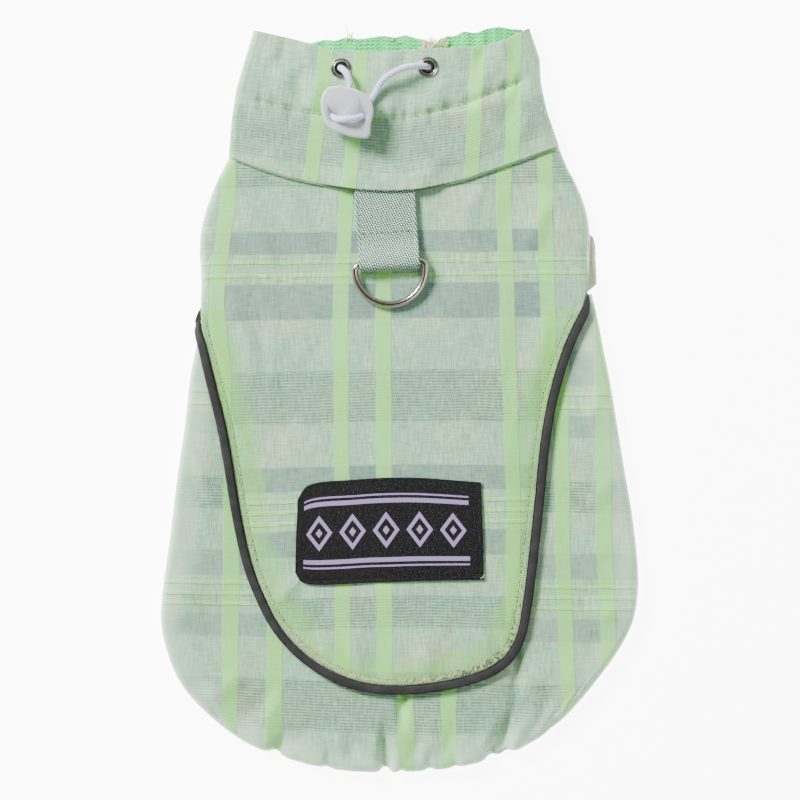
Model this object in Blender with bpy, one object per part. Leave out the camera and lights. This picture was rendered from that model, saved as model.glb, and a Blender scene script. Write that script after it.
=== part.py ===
"""Dog tank top, laid flat on its belly with its back up.

One object for each piece that is cut and sewn on.  Lengths in this file are in
millimetres and become metres where a mesh is placed.  +X is to the right, +Y
runs from the hem to the neck, +Z is up, and the cloth lies on z = 0.
"""

import math

import bmesh
import bpy
import numpy as np
from mathutils import Vector

MM = 0.001

# ---------------------------------------------------------------- sizes
WALL = 1.0                  # cloth wall
LAYER_GAP = 0.35            # air between two layers that lie on each other
SEAM_GAP = 0.3              # air between two pieces sewn edge to edge
LAYER = WALL + LAYER_GAP    # what one more layer of cloth adds to the height

HEM_TURN = 15.0             # width turned under at the hem
SIDE_TURN = 22.0            # width turned under at the sides, up to the side seam
SHOULDER_TURN = 12.0        # width turned under at the shoulders
NECK_TUCK = 3.0             # how far the body runs in under the collar
NECK_TUCK_FADE = 15.0       # the tuck fades out over this width at each side

PIPING_WIDTH = 3.5
PIPING_HEIGHT = 2.4

LINING_WALL = 0.8
LINING_DEPTH = 20.0         # how far the lining runs down inside the neck

BINDING_WIDTH = 5.4
BINDING_WALL = 1.4

WEBBING_WIDTH = 24.6
WEBBING_WALL = 1.0
WEBBING_TURN = math.radians(4.0)
WEBBING_BAR = (-4.1, 55.7)  # plan position of the ring's bar inside the webbing
WEBBING_TOP = 31.6          # from the bar up to the webbing's end under the collar
WEBBING_STITCH = 10.0       # from the bar up to the stitched cross

RING_WIRE = 2.9
RING_HALF_WIDTH = 14.4      # to the middle of the wire
RING_CORNER = 2.4
RING_BAR_ROOM = 1.85        # from the bar's axis to the webbing's inner face

EYELET_OUTER = 4.25
EYELET_HOLE = 2.75
EYELET_BARREL = 3.3
EYELET_FLANGE = 0.5
EYELETS = {"left": (-23.8, 135.4), "right": (11.6, 135.9)}
CASING_HEIGHT = 5.8         # height of the collar round an eyelet

CORD_WIDTH = 2.6
CORD_ROOM = 0.4             # clearance round the cord in the lock's holes
CORD_STEPS = 38             # points along the drawcord
CORD_WAY_SIDE = (0.31, 0.22, 0.93)      # a direction that the cord never runs in
LOCK_BASE = 10.6
LOCK_WALL = 4.6
LOCK_EDGE = 0.9

LABEL_WALL = 0.8

# ---------------------------------------------------------------- outlines
# Columns: x, y.  The back panel's edge, from the neck down the left side,
# round the hem and up the right side.
BACK_EDGE = (
    (-68.5, 98.6),
    (-70.5, 95.1),
    (-75.0, 85.3),
    (-79.0, 73.0),
    (-80.3, 63.0),
    (-79.8, 51.0),
    (-80.1, 41.0),
    (-81.4, 32.0),
    (-83.2, 22.0),
    (-85.7, 9.0),
    (-87.6, -8.2),
    (-90.8, -30.7),
    (-94.1, -57.4),
    (-96.8, -77.1),
    (-97.7, -89.4),
    (-95.3, -102.5),
    (-89.2, -116.4),
    (-78.5, -128.4),
    (-63.8, -139.6),
    (-47.8, -146.2),
    (-28.5, -150.9),
    (-10.0, -152.4),
    (8.4, -151.9),
    (21.9, -150.6),
    (35.9, -147.6),
    (47.4, -143.6),
    (60.9, -135.8),
    (71.0, -126.3),
    (80.6, -114.8),
    (89.6, -102.5),
    (95.6, -90.4),
    (97.6, -78.7),
    (97.4, -65.6),
    (95.3, -47.6),
    (92.0, -27.9),
    (88.8, -8.2),
    (86.4, 6.6),
    (83.6, 20.5),
    (81.0, 34.0),
    (79.2, 41.5),
    (77.2, 48.0),
    (76.1, 58.0),
    (76.1, 69.0),
    (74.6, 77.9),
    (71.1, 87.7),
    (67.2, 95.1),
    (64.1, 102.6),
)
# The cape's edge at the shoulders and armholes, from the neck down.
CAPE_LEFT = (
    (-69.9, 98.8),
    (-72.0, 95.1),
    (-76.5, 85.3),
    (-80.5, 73.0),
    (-81.8, 62.5),
    (-81.2, 51.0),
    (-81.3, 43.4),
)
CAPE_RIGHT = (
    (65.6, 102.8),
    (68.7, 95.1),
    (72.6, 87.7),
    (76.3, 77.9),
    (77.8, 69.0),
    (77.8, 58.0),
    (77.4, 48.5),
)
# The middle of the piping along the cape's free edge, left tip to right tip.
PIPING_LINE = (
    (-82.2, 40.4),
    (-83.3, 34.1),
    (-82.8, 28.6),
    (-80.6, 20.6),
    (-76.0, 2.3),
    (-72.4, -13.1),
    (-69.4, -30.7),
    (-66.2, -50.0),
    (-62.0, -68.0),
    (-57.2, -80.5),
    (-51.0, -92.4),
    (-42.4, -102.5),
    (-31.8, -110.5),
    (-21.1, -115.6),
    (-10.5, -118.1),
    (1.0, -118.6),
    (12.5, -117.8),
    (24.8, -115.5),
    (37.0, -111.4),
    (44.5, -106.0),
    (49.2, -98.0),
    (51.8, -87.0),
    (54.7, -65.3),
    (57.1, -43.6),
    (59.4, -20.0),
    (61.9, -4.0),
    (65.1, 9.0),
    (69.0, 21.0),
    (73.2, 30.5),
    (76.9, 38.0),
    (78.3, 43.6),
)
# Columns: share of the collar's width from its left side, y of that point.
COLLAR_FRONT_TOP = (
    (0.0, 151.1),
    (0.13, 147.8),
    (0.21, 145.5),
    (0.28, 142.9),
    (0.40, 142.5),
    (0.48, 142.0),
    (0.58, 143.3),
    (0.75, 144.0),
    (0.83, 144.6),
    (0.91, 147.0),
    (1.0, 152.1),
)
COLLAR_UNDER_TOP = (
    (0.0, 151.1),
    (0.13, 146.8),
    (0.26, 145.4),
    (0.40, 147.4),
    (0.55, 147.3),
    (0.65, 145.6),
    (0.74, 147.4),
    (0.83, 150.2),
    (0.92, 151.3),
    (1.0, 152.1),
)
COLLAR_SEAM = (
    (0.0, 99.3),
    (0.08, 95.3),
    (0.18, 91.0),
    (0.27, 88.4),
    (0.38, 86.0),
    (0.48, 85.2),
    (0.58, 86.0),
    (0.71, 89.9),
    (0.84, 96.0),
    (1.0, 103.6),
)
# Columns: share of the collar's height from its top, x of the left side and
# x of the right side there.
COLLAR_SIDES = (
    (0.0, -59.7, 53.1),
    (0.25, -63.6, 57.4),
    (0.46, -66.8, 57.9),
    (0.70, -68.7, 60.4),
    (1.0, -69.9, 65.4),
)
# The top edge of the lining, left to right.
LINING_TOP = (
    (-50.0, 146.4),
    (-34.2, 146.6),
    (-22.8, 147.9),
    (-11.5, 148.4),
    (8.8, 148.2),
    (14.1, 145.6),
    (19.5, 148.8),
    (32.6, 151.1),
    (41.2, 152.3),
    (48.5, 152.2),
)
LABEL_LEFT = ((-41.6, -40.6), (-42.2, -55.0), (-42.6, -70.4))
LABEL_RIGHT = ((33.2, -33.6), (34.0, -52.0), (34.4, -73.4))
LABEL_TOP = ((-41.6, -40.6), (-37.6, -35.1), (-18.0, -32.5), (3.0, -31.6), (33.2, -33.6))
LABEL_BOTTOM = ((-42.6, -70.4), (-39.6, -74.4), (-10.0, -74.5), (10.0, -73.9), (34.4, -73.4))
# The outer edge of each armhole binding, from the shoulder down.
BINDING_LEFT = ((-79.6, 70.6), (-81.2, 64.0), (-81.4, 56.0), (-80.6, 50.5), (-80.4, 46.0))
BINDING_RIGHT = ((77.4, 70.6), (80.0, 65.0), (80.5, 57.0), (80.8, 50.5), (80.8, 46.0))
LOCK_EDGE_LINE = (
    (-24.6, 127.6),
    (-29.2, 126.6),
    (-31.9, 121.6),
    (-31.0, 114.4),
    (-29.2, 111.0),
    (-24.6, 108.5),
    (-18.0, 106.6),
    (-12.6, 106.8),
    (-11.6, 112.0),
    (-10.6, 117.6),
    (-12.2, 122.4),
    (-16.4, 125.4),
)
# The drawcord's route: x, y, z, from the left eyelet to the right one.
CORD_ROUTE = (
    (-24.3, 135.8, 4.4),
    (-23.8, 135.3, 6.5),
    (-22.4, 134.0, 8.7),
    (-20.9, 131.5, 9.8),
    (-20.2, 128.1, 9.4),
    (-21.3, 124.6, 8.4),
    (-24.0, 121.5, 8.0),
    (-26.3, 119.1, 9.0),
    (-27.6, 117.0, 11.4),
    (-27.0, 114.9, 14.6),
    (-24.3, 113.6, 17.3),
    (-20.4, 113.6, 18.2),
    (-16.9, 114.3, 16.8),
    (-14.6, 115.8, 13.3),
    (-14.6, 118.1, 10.1),
    (-13.0, 120.6, 8.2),
    (-9.9, 125.0, 7.9),
    (-6.9, 130.0, 9.3),
    (-3.0, 132.9, 10.9),
    (1.8, 135.0, 11.0),
    (6.6, 136.0, 9.6),
    (10.0, 136.1, 7.3),
    (11.9, 135.9, 4.4),
)

# ---------------------------------------------------------------- heights
# Columns: y, outer radius of the side fold, height of the back panel's outer
# face away from the fold.
LIE = (
    (-160.0, 2.6, 3.9),
    (-120.0, 2.8, 3.9),
    (-85.0, 2.9, 3.5),
    (-40.0, 2.9, 3.1),
    (0.0, 2.8, 3.0),
    (35.0, 2.4, 2.8),
    (60.0, 2.1, 2.6),
    (85.0, 1.8, 2.5),
    (105.0, 1.7, 2.45),
)
FOLD_SPREAD = 18.0          # how far from a side fold the cloth still stands up

# Soft troughs and ridges of the back panel and of what lies on it.
# Columns: x and y at the strong end, x and y at the fading end, half width,
# height (negative is a trough).
BODY_FOLDS = (
    (-46.0, 88.0, -22.0, 66.0, 9.0, 0.35),
    (-52.0, 76.0, -30.0, 52.0, 8.0, -0.25),
    (40.0, 80.0, 58.0, 56.0, 9.0, 0.30),
    (-58.0, 34.0, -44.0, 4.0, 9.0, 0.30),
    (44.0, 30.0, 34.0, 0.0, 10.0, 0.30),
    (-5.4, -156.0, -6.4, -130.0, 2.6, -2.8),
    (1.4, -156.0, 1.0, -124.0, 4.4, 1.0),
    (-13.5, -156.0, -13.0, -130.0, 5.0, 0.9),
    (37.2, -150.0, 48.5, -122.0, 3.4, -2.2),
    (48.5, -124.0, 46.5, -104.0, 5.0, -1.0),
    (43.8, -148.0, 55.0, -124.0, 3.6, 0.9),
    (28.5, -154.0, 30.5, -130.0, 4.6, 0.9),
    (-51.0, -150.0, -42.0, -128.0, 4.2, -1.6),
    (-60.5, -146.0, -50.0, -118.0, 5.4, 0.7),
    (-33.5, -154.0, -29.0, -130.0, 4.6, 0.6),
    (-84.0, -128.0, -66.0, -112.0, 5.0, 0.5),
    (79.0, -122.0, 66.0, -106.0, 5.0, 0.5),
)
GATHERS = 13                # gathers drawn up by the elastic along the hem
GATHER_HEIGHT = 0.45
GATHER_REACH = 9.0          # how far a gather runs in from the hem
COLLAR_PUCKERS = 11         # puckers across the collar along the casing seam
PUCKER_HEIGHT = 0.28
PUCKER_REACH = 7.0
CASING_SEAM_UP = 26.75      # from the neck seam up to the casing's stitching, at the left
CASING_SEAM_RISE = 6.0      # how much higher that is at the right
CASING_SEAM_WIDTH = 2.6
CASING_SEAM_DEPTH = 0.9
EYELET_FLAT = 6.5           # the cloth is level this far round an eyelet
EYELET_FLAT_FADE = 4.0
WEBBING_BUMP = 2.75         # how far the webbing's end lifts the collar
WEBBING_BUMP_HALF = 14.5
WEBBING_BUMP_FADE = 13.0


def smooth_curve(points, count):
    """Points spaced evenly along a smooth curve through the given ones."""
    knots = np.asarray(points, float)
    spans = np.sqrt(np.linalg.norm(np.diff(knots, axis=0), axis=1))
    times = np.concatenate(((0.0,), np.cumsum(spans)))
    slopes = np.diff(knots, axis=0) / spans[:, None]
    inner = slopes[:-1] * spans[1:, None] + slopes[1:] * spans[:-1, None]
    inner /= (spans[:-1] + spans[1:])[:, None]
    tangents = np.vstack((slopes[:1], inner, slopes[-1:]))
    steps = 24
    share = np.linspace(0.0, 1.0, steps, endpoint=False)[:, None]
    pieces = []
    for index, span in enumerate(spans):
        start, end = knots[index], knots[index + 1]
        out, into = tangents[index] * span, tangents[index + 1] * span
        ease = share * share * (3 - 2 * share)
        bent = out * share * (1 - share) ** 2 - into * share**2 * (1 - share)
        pieces.append(start * (1 - ease) + end * ease + bent)
    fine = np.vstack(pieces + [knots[-1:]])
    lengths = np.concatenate(((0.0,), np.cumsum(np.linalg.norm(np.diff(fine, axis=0), axis=1))))
    places = np.linspace(0.0, lengths[-1], count)
    return np.stack([np.interp(places, lengths, fine[:, axis]) for axis in range(fine.shape[1])], axis=1)


def along(curve, share):
    """The points of a sampled curve at each share of its length."""
    places = np.linspace(0.0, 1.0, len(curve))
    return np.stack([np.interp(share, places, curve[:, axis]) for axis in range(curve.shape[1])], axis=-1)


def column(table, place, value=1):
    """Read one column of a table at a place along its first column, smoothly."""
    rows = np.asarray(sorted(table), float)
    fine = np.linspace(rows[0, 0], rows[-1, 0], 241)
    curve = np.interp(fine, rows[:, 0], rows[:, value])
    blur = np.ones(13) / 13.0
    padded = np.concatenate((2 * curve[0] - curve[6:0:-1], curve, 2 * curve[-1] - curve[-2:-8:-1]))
    return np.interp(place, fine, np.convolve(padded, blur, "valid"))


def eased(share):
    """0 to 1 with level ends."""
    share = np.clip(share, 0.0, 1.0)
    return share * share * (3.0 - 2.0 * share)


def left_of(curve):
    """Unit vectors to the left of a plan curve's direction of travel."""
    steps = np.gradient(curve, axis=0)
    steps /= np.linalg.norm(steps, axis=1)[:, None]
    return np.stack((-steps[:, 1], steps[:, 0]), axis=1)


BACK_CURVE = smooth_curve(BACK_EDGE, 361)


def inset(x, y):
    """Distance in from the back panel's edge, negative outside it."""
    start = BACK_CURVE[:-1]
    step = BACK_CURVE[1:] - start
    point = np.stack((np.ravel(x), np.ravel(y)), axis=1)[:, None, :]
    share = np.clip(((point - start) * step).sum(2) / (step**2).sum(1), 0.0, 1.0)
    away = point - start - share[..., None] * step
    distance = np.hypot(away[..., 0], away[..., 1])
    nearest = distance.argmin(axis=1)
    rows = np.arange(len(nearest))
    turn = step[nearest, 0] * away[rows, nearest, 1] - step[nearest, 1] * away[rows, nearest, 0]
    return (np.where(turn >= 0.0, 1.0, -1.0) * distance[rows, nearest]).reshape(np.shape(x))


def body_folds(x, y):
    """Height that the soft folds add at a plan position."""
    total = np.zeros(np.shape(x))
    for from_x, from_y, to_x, to_y, half_width, height in BODY_FOLDS:
        run_x, run_y = to_x - from_x, to_y - from_y
        length = math.hypot(run_x, run_y)
        share = ((x - from_x) * run_x + (y - from_y) * run_y) / length**2
        across = ((x - from_x) * run_y - (y - from_y) * run_x) / length
        ends = eased((1.0 - share) / 0.75) * eased((share + 0.6) / 0.6)
        total = total + height * ends * np.exp(-(across / half_width) ** 2)
    return total


def back_height(x, y, depth):
    """Height of the back panel's outer face, inside its side folds."""
    crown = 2.0 * column(LIE, y, 1)
    rest = column(LIE, y, 2)
    beyond = np.maximum(depth - crown / 2.0, 0.0)
    return rest + (crown - rest) * np.exp(-(beyond / FOLD_SPREAD) ** 2) + body_folds(x, y)


def over_back(x, y, lift):
    """Height of a surface that lies a given lift above the back panel, folds included."""
    depth = inset(x, y)
    radius = column(LIE, y, 1)
    past_crown = np.maximum(radius - depth, 0.0)
    round_the_fold = radius + np.sqrt(np.maximum((radius + lift) ** 2 - past_crown**2, 0.0))
    folds = body_folds(x, y) * eased(depth / radius)
    return np.where(depth >= radius, back_height(x, y, depth) + lift, round_the_fold + folds)


# ---------------------------------------------------------------- modelling
def placed_grid(columns, rows, place):
    """A grid whose points are placed from their shares of its columns and rows."""
    mesh = bmesh.new()
    bmesh.ops.create_grid(mesh, x_segments=columns, y_segments=rows, size=0.5)
    points = np.array([vertex.co[:2] for vertex in mesh.verts]) + 0.5
    places = place(points[:, 0], points[:, 1])
    for vertex, spot in zip(mesh.verts, places):
        vertex.co = spot
    return mesh


def material(name, colour, roughness, metallic=0.0):
    """A plain Principled material."""
    finish = bpy.data.materials.new(name)
    finish.use_nodes = True
    shader = finish.node_tree.nodes["Principled BSDF"]
    shader.inputs["Base Color"].default_value = (*colour, 1.0)
    shader.inputs["Roughness"].default_value = roughness
    shader.inputs["Metallic"].default_value = metallic
    return finish


def new_object(name, mesh, finish, wall=0.0, offset=-1.0):
    """Turn a bmesh in millimetres into an object in metres, with its cloth wall."""
    bmesh.ops.scale(mesh, vec=(MM, MM, MM), verts=mesh.verts)
    data = bpy.data.meshes.new(name)
    mesh.to_mesh(data)
    mesh.free()
    data.materials.append(finish)
    data.shade_smooth()
    data.set_sharp_from_angle(angle=math.radians(40.0))
    thing = bpy.data.objects.new(name, data)
    bpy.context.scene.collection.objects.link(thing)
    if wall:
        thicken = thing.modifiers.new("Wall", "SOLIDIFY")
        thicken.thickness = wall * MM
        thicken.offset = offset
        thicken.use_even_offset = True
    return thing


def coons(u, v, left, right, bottom, top):
    """Fill four sampled edges: left and right run upwards, bottom and top to the right."""
    u = u[:, None]
    v = v[:, None]
    sides = (1 - u) * along(left, v[:, 0]) + u * along(right, v[:, 0])
    ends = (1 - v) * along(bottom, u[:, 0]) + v * along(top, u[:, 0])
    corners = ((1 - u) * (1 - v) * bottom[0] + u * (1 - v) * bottom[-1]
               + (1 - u) * v * top[0] + u * v * top[-1])
    return sides + ends - corners


def spread(stops, share):
    """Move evenly spaced shares so that they are dense where the stops are."""
    return np.interp(share, np.linspace(0.0, 1.0, len(stops)), stops)


def seam_line(count, shift):
    """The neck seam, moved up by a shift that fades out at the collar's sides."""
    share = np.linspace(0.0, 1.0, count)
    left_x, right_x = column(COLLAR_SIDES, 1.0, 1), column(COLLAR_SIDES, 1.0, 2)
    x = left_x + (right_x - left_x) * share
    y = column(COLLAR_SEAM, share)
    inward = np.minimum(x - left_x, right_x - x)
    return np.stack((x, y + shift * eased(inward / NECK_TUCK_FADE)), axis=1)


def tucked_edge(left_end, right_end, gap):
    """The top edge of a body piece: the neck seam, tucked in under the collar, between two ends."""
    neck = seam_line(181, NECK_TUCK)
    span = (neck[:, 0] - neck[0, 0]) / (neck[-1, 0] - neck[0, 0])
    x = left_end[0] + span * (right_end[0] - left_end[0])
    y = neck[:, 1] - gap
    y += (left_end[1] - y[0]) * (1.0 - eased(span / 0.1))
    y += (right_end[1] - y[-1]) * eased((span - 0.9) / 0.1)
    return np.stack((x, y), axis=1)


def collar_front(x, y):
    """Height of the collar's outer face over the back, away from its side folds."""
    seam = seam_line(121, 0.0)
    above = y - np.interp(x, seam[:, 0], seam[:, 1])
    near_seam = over_back(x, np.minimum(y, LIE[-1][0]), 2.0 * LAYER)
    bar_x, bar_y = WEBBING_BAR
    middle = bar_x - math.sin(WEBBING_TURN) * (y - bar_y)
    sideways = 1.0 - eased((np.abs(x - middle) - WEBBING_BUMP_HALF) / WEBBING_BUMP_FADE)
    bump = WEBBING_BUMP * sideways * (1.0 - eased((above - 4.0) / 9.0))
    away = eased((above - 3.5) / 8.0)
    share = (x - seam[0, 0]) / (seam[-1, 0] - seam[0, 0])
    from_stitch = above - CASING_SEAM_UP - CASING_SEAM_RISE * share
    casing = CASING_SEAM_DEPTH * np.exp(-(from_stitch / CASING_SEAM_WIDTH) ** 2)
    wave = np.cos(2.0 * math.pi * (COLLAR_PUCKERS * share + 0.35 * np.sin(9.0 * share)))
    puckers = PUCKER_HEIGHT * wave * np.exp(-(from_stitch / PUCKER_REACH) ** 2)
    open_height = CASING_HEIGHT - casing + puckers
    for eye_x, eye_y in EYELETS.values():
        flat = 1.0 - eased((np.hypot(x - eye_x, y - eye_y) - EYELET_FLAT) / EYELET_FLAT_FADE)
        open_height = open_height * (1.0 - flat) + CASING_HEIGHT * flat
    return near_seam * (1.0 - away) + open_height * away + bump


# ---------------------------------------------------------------- body
HEM_CORNERS = (-80.0, 78.0)     # x where the sides end and the hem begins
EVEN_COLUMNS = 30
FOLD_COLUMNS = (-9.6, -7.2, -5.4, -3.6, -1.2, 30.5, 34.2, 37.2, 40.6, 43.8, 47.2)   # x at the hem
COLUMN_ROOM = 0.012         # least share of the hem between an even column and a fold's column
RIM_STEPS = 4               # steps round half a turn of the side fold
UNDER_STEPS = (0.4, 1.0)    # shares of the turned-under width
ARMHOLE_BOTTOM = 43.0
ARMHOLE_TOP = 73.0


# Rows between a lower corner and the first height above it, as shares of the way,
# and heights of the rows at the sides from there up to the neck.
CORNER_ROWS = (0.25, 0.5, 0.75)
SHOULDER_ROWS = (ARMHOLE_BOTTOM, 46.5, 50.0, 58.0, 66.0, ARMHOLE_TOP, 80.0, 86.0, 92.0)
BACK_SIDE_ROWS = (-105.0, -97.0, -87.0, -75.0, -62.0, -48.0, -34.0, -20.0, -6.0, 8.0, 21.0, 33.0)
CAPE_SIDE_ROWS = (-84.0, -72.0, -58.0, -42.0, -25.0, -8.0, 8.0, 21.0, 33.0, 38.0)
BACK_ROW_HEIGHTS = BACK_SIDE_ROWS + SHOULDER_ROWS
CAPE_ROW_HEIGHTS = CAPE_SIDE_ROWS + SHOULDER_ROWS


def corner_shares(edge, low, corners):
    """Shares of an edge at its two lower corners, found by their x below a height."""
    places = np.linspace(0.0, 1.0, len(edge))
    below = edge[:, 1] < low
    return [places[below][np.argmin(np.abs(edge[below, 0] - corner))] for corner in corners]


def side_share(edge, y, right):
    """Share of an edge at a height on one of its sides."""
    places = np.linspace(0.0, 1.0, len(edge))
    side = places > 0.5 if right else places < 0.5
    order = np.argsort(edge[side, 1])
    return np.interp(y, edge[side, 1][order], places[side][order])


def row_shares(edge, corner, heights, right, v, corner_rows=()):
    """Shares of an edge for the rows of one side, 0 at its lower corner and 1 at the neck."""
    places = side_share(edge, heights, right)
    near_corner = [corner + (places[0] - corner) * share for share in corner_rows]
    stops = [corner, *near_corner, *places, 1.0 if right else 0.0]
    return spread(stops, v)


HEM_START, HEM_END = corner_shares(BACK_CURVE, -90.0, HEM_CORNERS)


def gather(share):
    """Height of the hem's gathers at a share of the back panel's edge."""
    hem = (share - HEM_START) / (HEM_END - HEM_START)
    fade = eased((hem + 0.08) / 0.16) * eased((1.08 - hem) / 0.16)
    uneven = 0.7 + 0.3 * np.cos(2.0 * math.pi * 2.3 * hem + 1.0)
    return GATHER_HEIGHT * fade * uneven * np.cos(2.0 * math.pi * GATHERS * hem + 1.1 * np.sin(7.0 * hem))


def back_columns():
    """Shares of the hem where the back panel's columns start, crowded by the deep folds."""
    places = np.linspace(0.0, 1.0, 721)
    hem = along(BACK_CURVE, HEM_START + (HEM_END - HEM_START) * places)
    by_folds = np.interp(FOLD_COLUMNS, hem[:, 0], places)
    even = np.linspace(0.0, 1.0, EVEN_COLUMNS + 1)
    room = np.abs(even[:, None] - by_folds).min(axis=1)
    return np.sort(np.concatenate((even[room > COLUMN_ROOM], by_folds)))


def turned_under(y):
    """Width turned under at a height on the back panel's edge."""
    side = HEM_TURN + (SIDE_TURN - HEM_TURN) * eased((y + 128.0) / 40.0)
    return np.where(y > ARMHOLE_TOP - 5.0, SHOULDER_TURN, side)


def in_armhole(y):
    """Whether a height on the back panel's edge lies between the ends of the armholes."""
    return (y > ARMHOLE_BOTTOM + 0.1) & (y < ARMHOLE_TOP - 0.1)


def back_panel(finish):
    """The back panel: its top, the rolled side folds and hem, and what is turned under."""
    edge = BACK_CURVE
    inward = left_of(edge)

    def crown_line(share):
        point = along(edge, share)
        normal = along(inward, share)
        radius = column(LIE, point[..., 1], 1)
        return point + normal * radius[..., None]

    row_count = len(CORNER_ROWS) + len(BACK_ROW_HEIGHTS) + 1
    rows = np.linspace(0.0, 1.0, 8 * row_count + 1)
    left = crown_line(row_shares(edge, HEM_START, BACK_ROW_HEIGHTS, False, rows, CORNER_ROWS))
    right = crown_line(row_shares(edge, HEM_END, BACK_ROW_HEIGHTS, True, rows, CORNER_ROWS))
    bottom = crown_line(np.linspace(HEM_START, HEM_END, 181))
    top = tucked_edge(left[-1], right[-1], 2.0 * LAYER_GAP)
    columns = back_columns()

    def on_top(u, v):
        across = spread(columns, u)
        plan = coons(across, v, left, right, bottom, top)
        x, y = plan[:, 0], plan[:, 1]
        share = HEM_START + (HEM_END - HEM_START) * across
        height = back_height(x, y, inset(x, y))
        reach = np.exp(-(np.hypot(*(plan - crown_line(share)).T) / GATHER_REACH) ** 2)
        return np.column_stack((x, y, height + gather(share) * reach))

    mesh = placed_grid(len(columns) - 1, row_count, on_top)
    sides = mesh.verts.layers.float.new("edge_share")
    rim = [side for side in mesh.edges if len(side.link_faces) == 1]
    crown = crown_line(np.linspace(0.0, 1.0, 2881))
    for vertex in {vertex for side in rim for vertex in side.verts}:
        gap = np.hypot(crown[:, 0] - vertex.co.x, crown[:, 1] - vertex.co.y)
        vertex[sides] = gap.argmin() / 2880.0 if gap.min() < 0.3 else -1.0
    rim = [side for side in rim if min(vertex[sides] for vertex in side.verts) >= 0.0]
    crowns = {round(vertex[sides], 5): vertex.co.z for side in rim for vertex in side.verts}

    def profile(share, step):
        """Point of the rim at one of its steps, from the crown to the turned-under edge."""
        point = along(edge, share)
        normal = along(inward, share)
        radius = float(column(LIE, point[1], 1))
        half = crowns[round(share, 5)] / 2.0
        pulled_in = 0.5 * max(radius - half, 0.0)
        if step <= RIM_STEPS:
            angle = math.pi * step / RIM_STEPS
            inside = radius + (pulled_in - radius) * math.sin(angle)
            return (*(point + normal * inside), half + half * math.cos(angle))
        share_under = UNDER_STEPS[step - RIM_STEPS - 1]
        inside = radius + share_under * (float(turned_under(point[1])) - radius)
        return (*(point + normal * inside), 0.0)

    for step in range(1, RIM_STEPS + len(UNDER_STEPS) + 1):
        grown = bmesh.ops.extrude_edge_only(mesh, edges=rim)["geom"]
        rim = [item for item in grown if isinstance(item, bmesh.types.BMEdge) and len(item.link_faces) == 1]
        fresh = {item for item in grown if isinstance(item, bmesh.types.BMVert)}
        rim = [side for side in rim if set(side.verts) <= fresh]
        for vertex in fresh:
            vertex.co = profile(vertex[sides], step)
        if step == 1:
            middles = [sum(vertex[sides] for vertex in side.verts) / 2.0 for side in rim]
            rim = [side for side, share in zip(rim, middles) if not in_armhole(along(edge, share)[1])]
    bmesh.ops.recalc_face_normals(mesh, faces=mesh.faces)
    return new_object("back_panel", mesh, finish, WALL)


def cape_curve():
    """The cape's edge from the neck down the left side, round its free edge and up the right side."""
    piping = smooth_curve(PIPING_LINE, 241)
    free_edge = piping + left_of(piping) * (PIPING_WIDTH / 2.0 + SEAM_GAP)
    left = smooth_curve(CAPE_LEFT, 41)
    right = smooth_curve(CAPE_RIGHT, 41)[::-1]
    return smooth_curve(np.vstack((left[:-1:4], free_edge[3:-3:6], right[1::4])), 481)


CAPE_CORNERS = (-50.0, 48.0)    # x where the cape's sides end and its lower edge begins
CAPE_COLUMNS = 23
CAPE_EDGE_STOPS = (0.0, 0.005, 0.016, 0.036)    # columns crowd round the side folds


def cape(finish):
    """The cape: follows the back panel one layer up, round its folds at the shoulders."""
    edge = cape_curve()
    start, end = corner_shares(edge, -70.0, CAPE_CORNERS)
    rows = np.linspace(0.0, 1.0, 8 * len(CAPE_ROW_HEIGHTS) + 9)
    left = along(edge, row_shares(edge, start, CAPE_ROW_HEIGHTS, False, rows))
    right = along(edge, row_shares(edge, end, CAPE_ROW_HEIGHTS, True, rows))
    bottom = along(edge, start + (end - start) * rows)
    top = tucked_edge(left[-1], right[-1], SEAM_GAP)
    inner = np.linspace(0.07, 0.93, CAPE_COLUMNS - 7)
    stops = np.concatenate((CAPE_EDGE_STOPS, inner, 1.0 - np.array(CAPE_EDGE_STOPS[::-1])))

    def on_back(u, v):
        plan = coons(spread(stops, u), v, left, right, bottom, top)
        height = over_back(plan[:, 0], plan[:, 1], LAYER)
        return np.column_stack((plan, height))

    mesh = placed_grid(CAPE_COLUMNS, len(CAPE_ROW_HEIGHTS) + 1, on_back)
    return new_object("cape", mesh, finish, WALL)


def swept(path, normals, section, closed=False):
    """Sweep a closed section along a path: section points are (across, out) pairs."""
    tangents = np.gradient(path, axis=0)
    if closed:
        tangents = np.roll(path, -1, axis=0) - np.roll(path, 1, axis=0)
    tangents /= np.linalg.norm(tangents, axis=1)[:, None]
    across = np.cross(tangents, normals)
    across /= np.linalg.norm(across, axis=1)[:, None]
    out = np.cross(across, tangents)
    mesh = bmesh.new()
    rings = []
    for point, side, away in zip(path, across, out):
        rings.append([mesh.verts.new(point + side * a + away * b) for a, b in section])
    following = rings[1:] + rings[:1] if closed else rings[1:]
    for ring, after in zip(rings, following):
        for index in range(len(section)):
            onward = (index + 1) % len(section)
            mesh.faces.new((ring[index], ring[onward], after[onward], after[index]))
    if not closed:
        mesh.faces.new(rings[0][::-1])
        mesh.faces.new(rings[-1])
    bmesh.ops.recalc_face_normals(mesh, faces=mesh.faces)
    return mesh


def ellipse(half_width, half_height, sides):
    """Points of an oval section."""
    turns = [2.0 * math.pi * index / sides for index in range(sides)]
    return [(half_width * math.cos(turn), half_height * math.sin(turn)) for turn in turns]


def surface_normals(x, y, lift):
    """Normals of the surface that lies a given lift above the back panel."""
    step = 0.05
    slope_x = (over_back(x + step, y, lift) - over_back(x - step, y, lift)) / (2.0 * step)
    slope_y = (over_back(x, y + step, lift) - over_back(x, y - step, lift)) / (2.0 * step)
    normals = np.stack((-slope_x, -slope_y, np.ones_like(slope_x)), axis=1)
    return normals / np.linalg.norm(normals, axis=1)[:, None]


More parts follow.
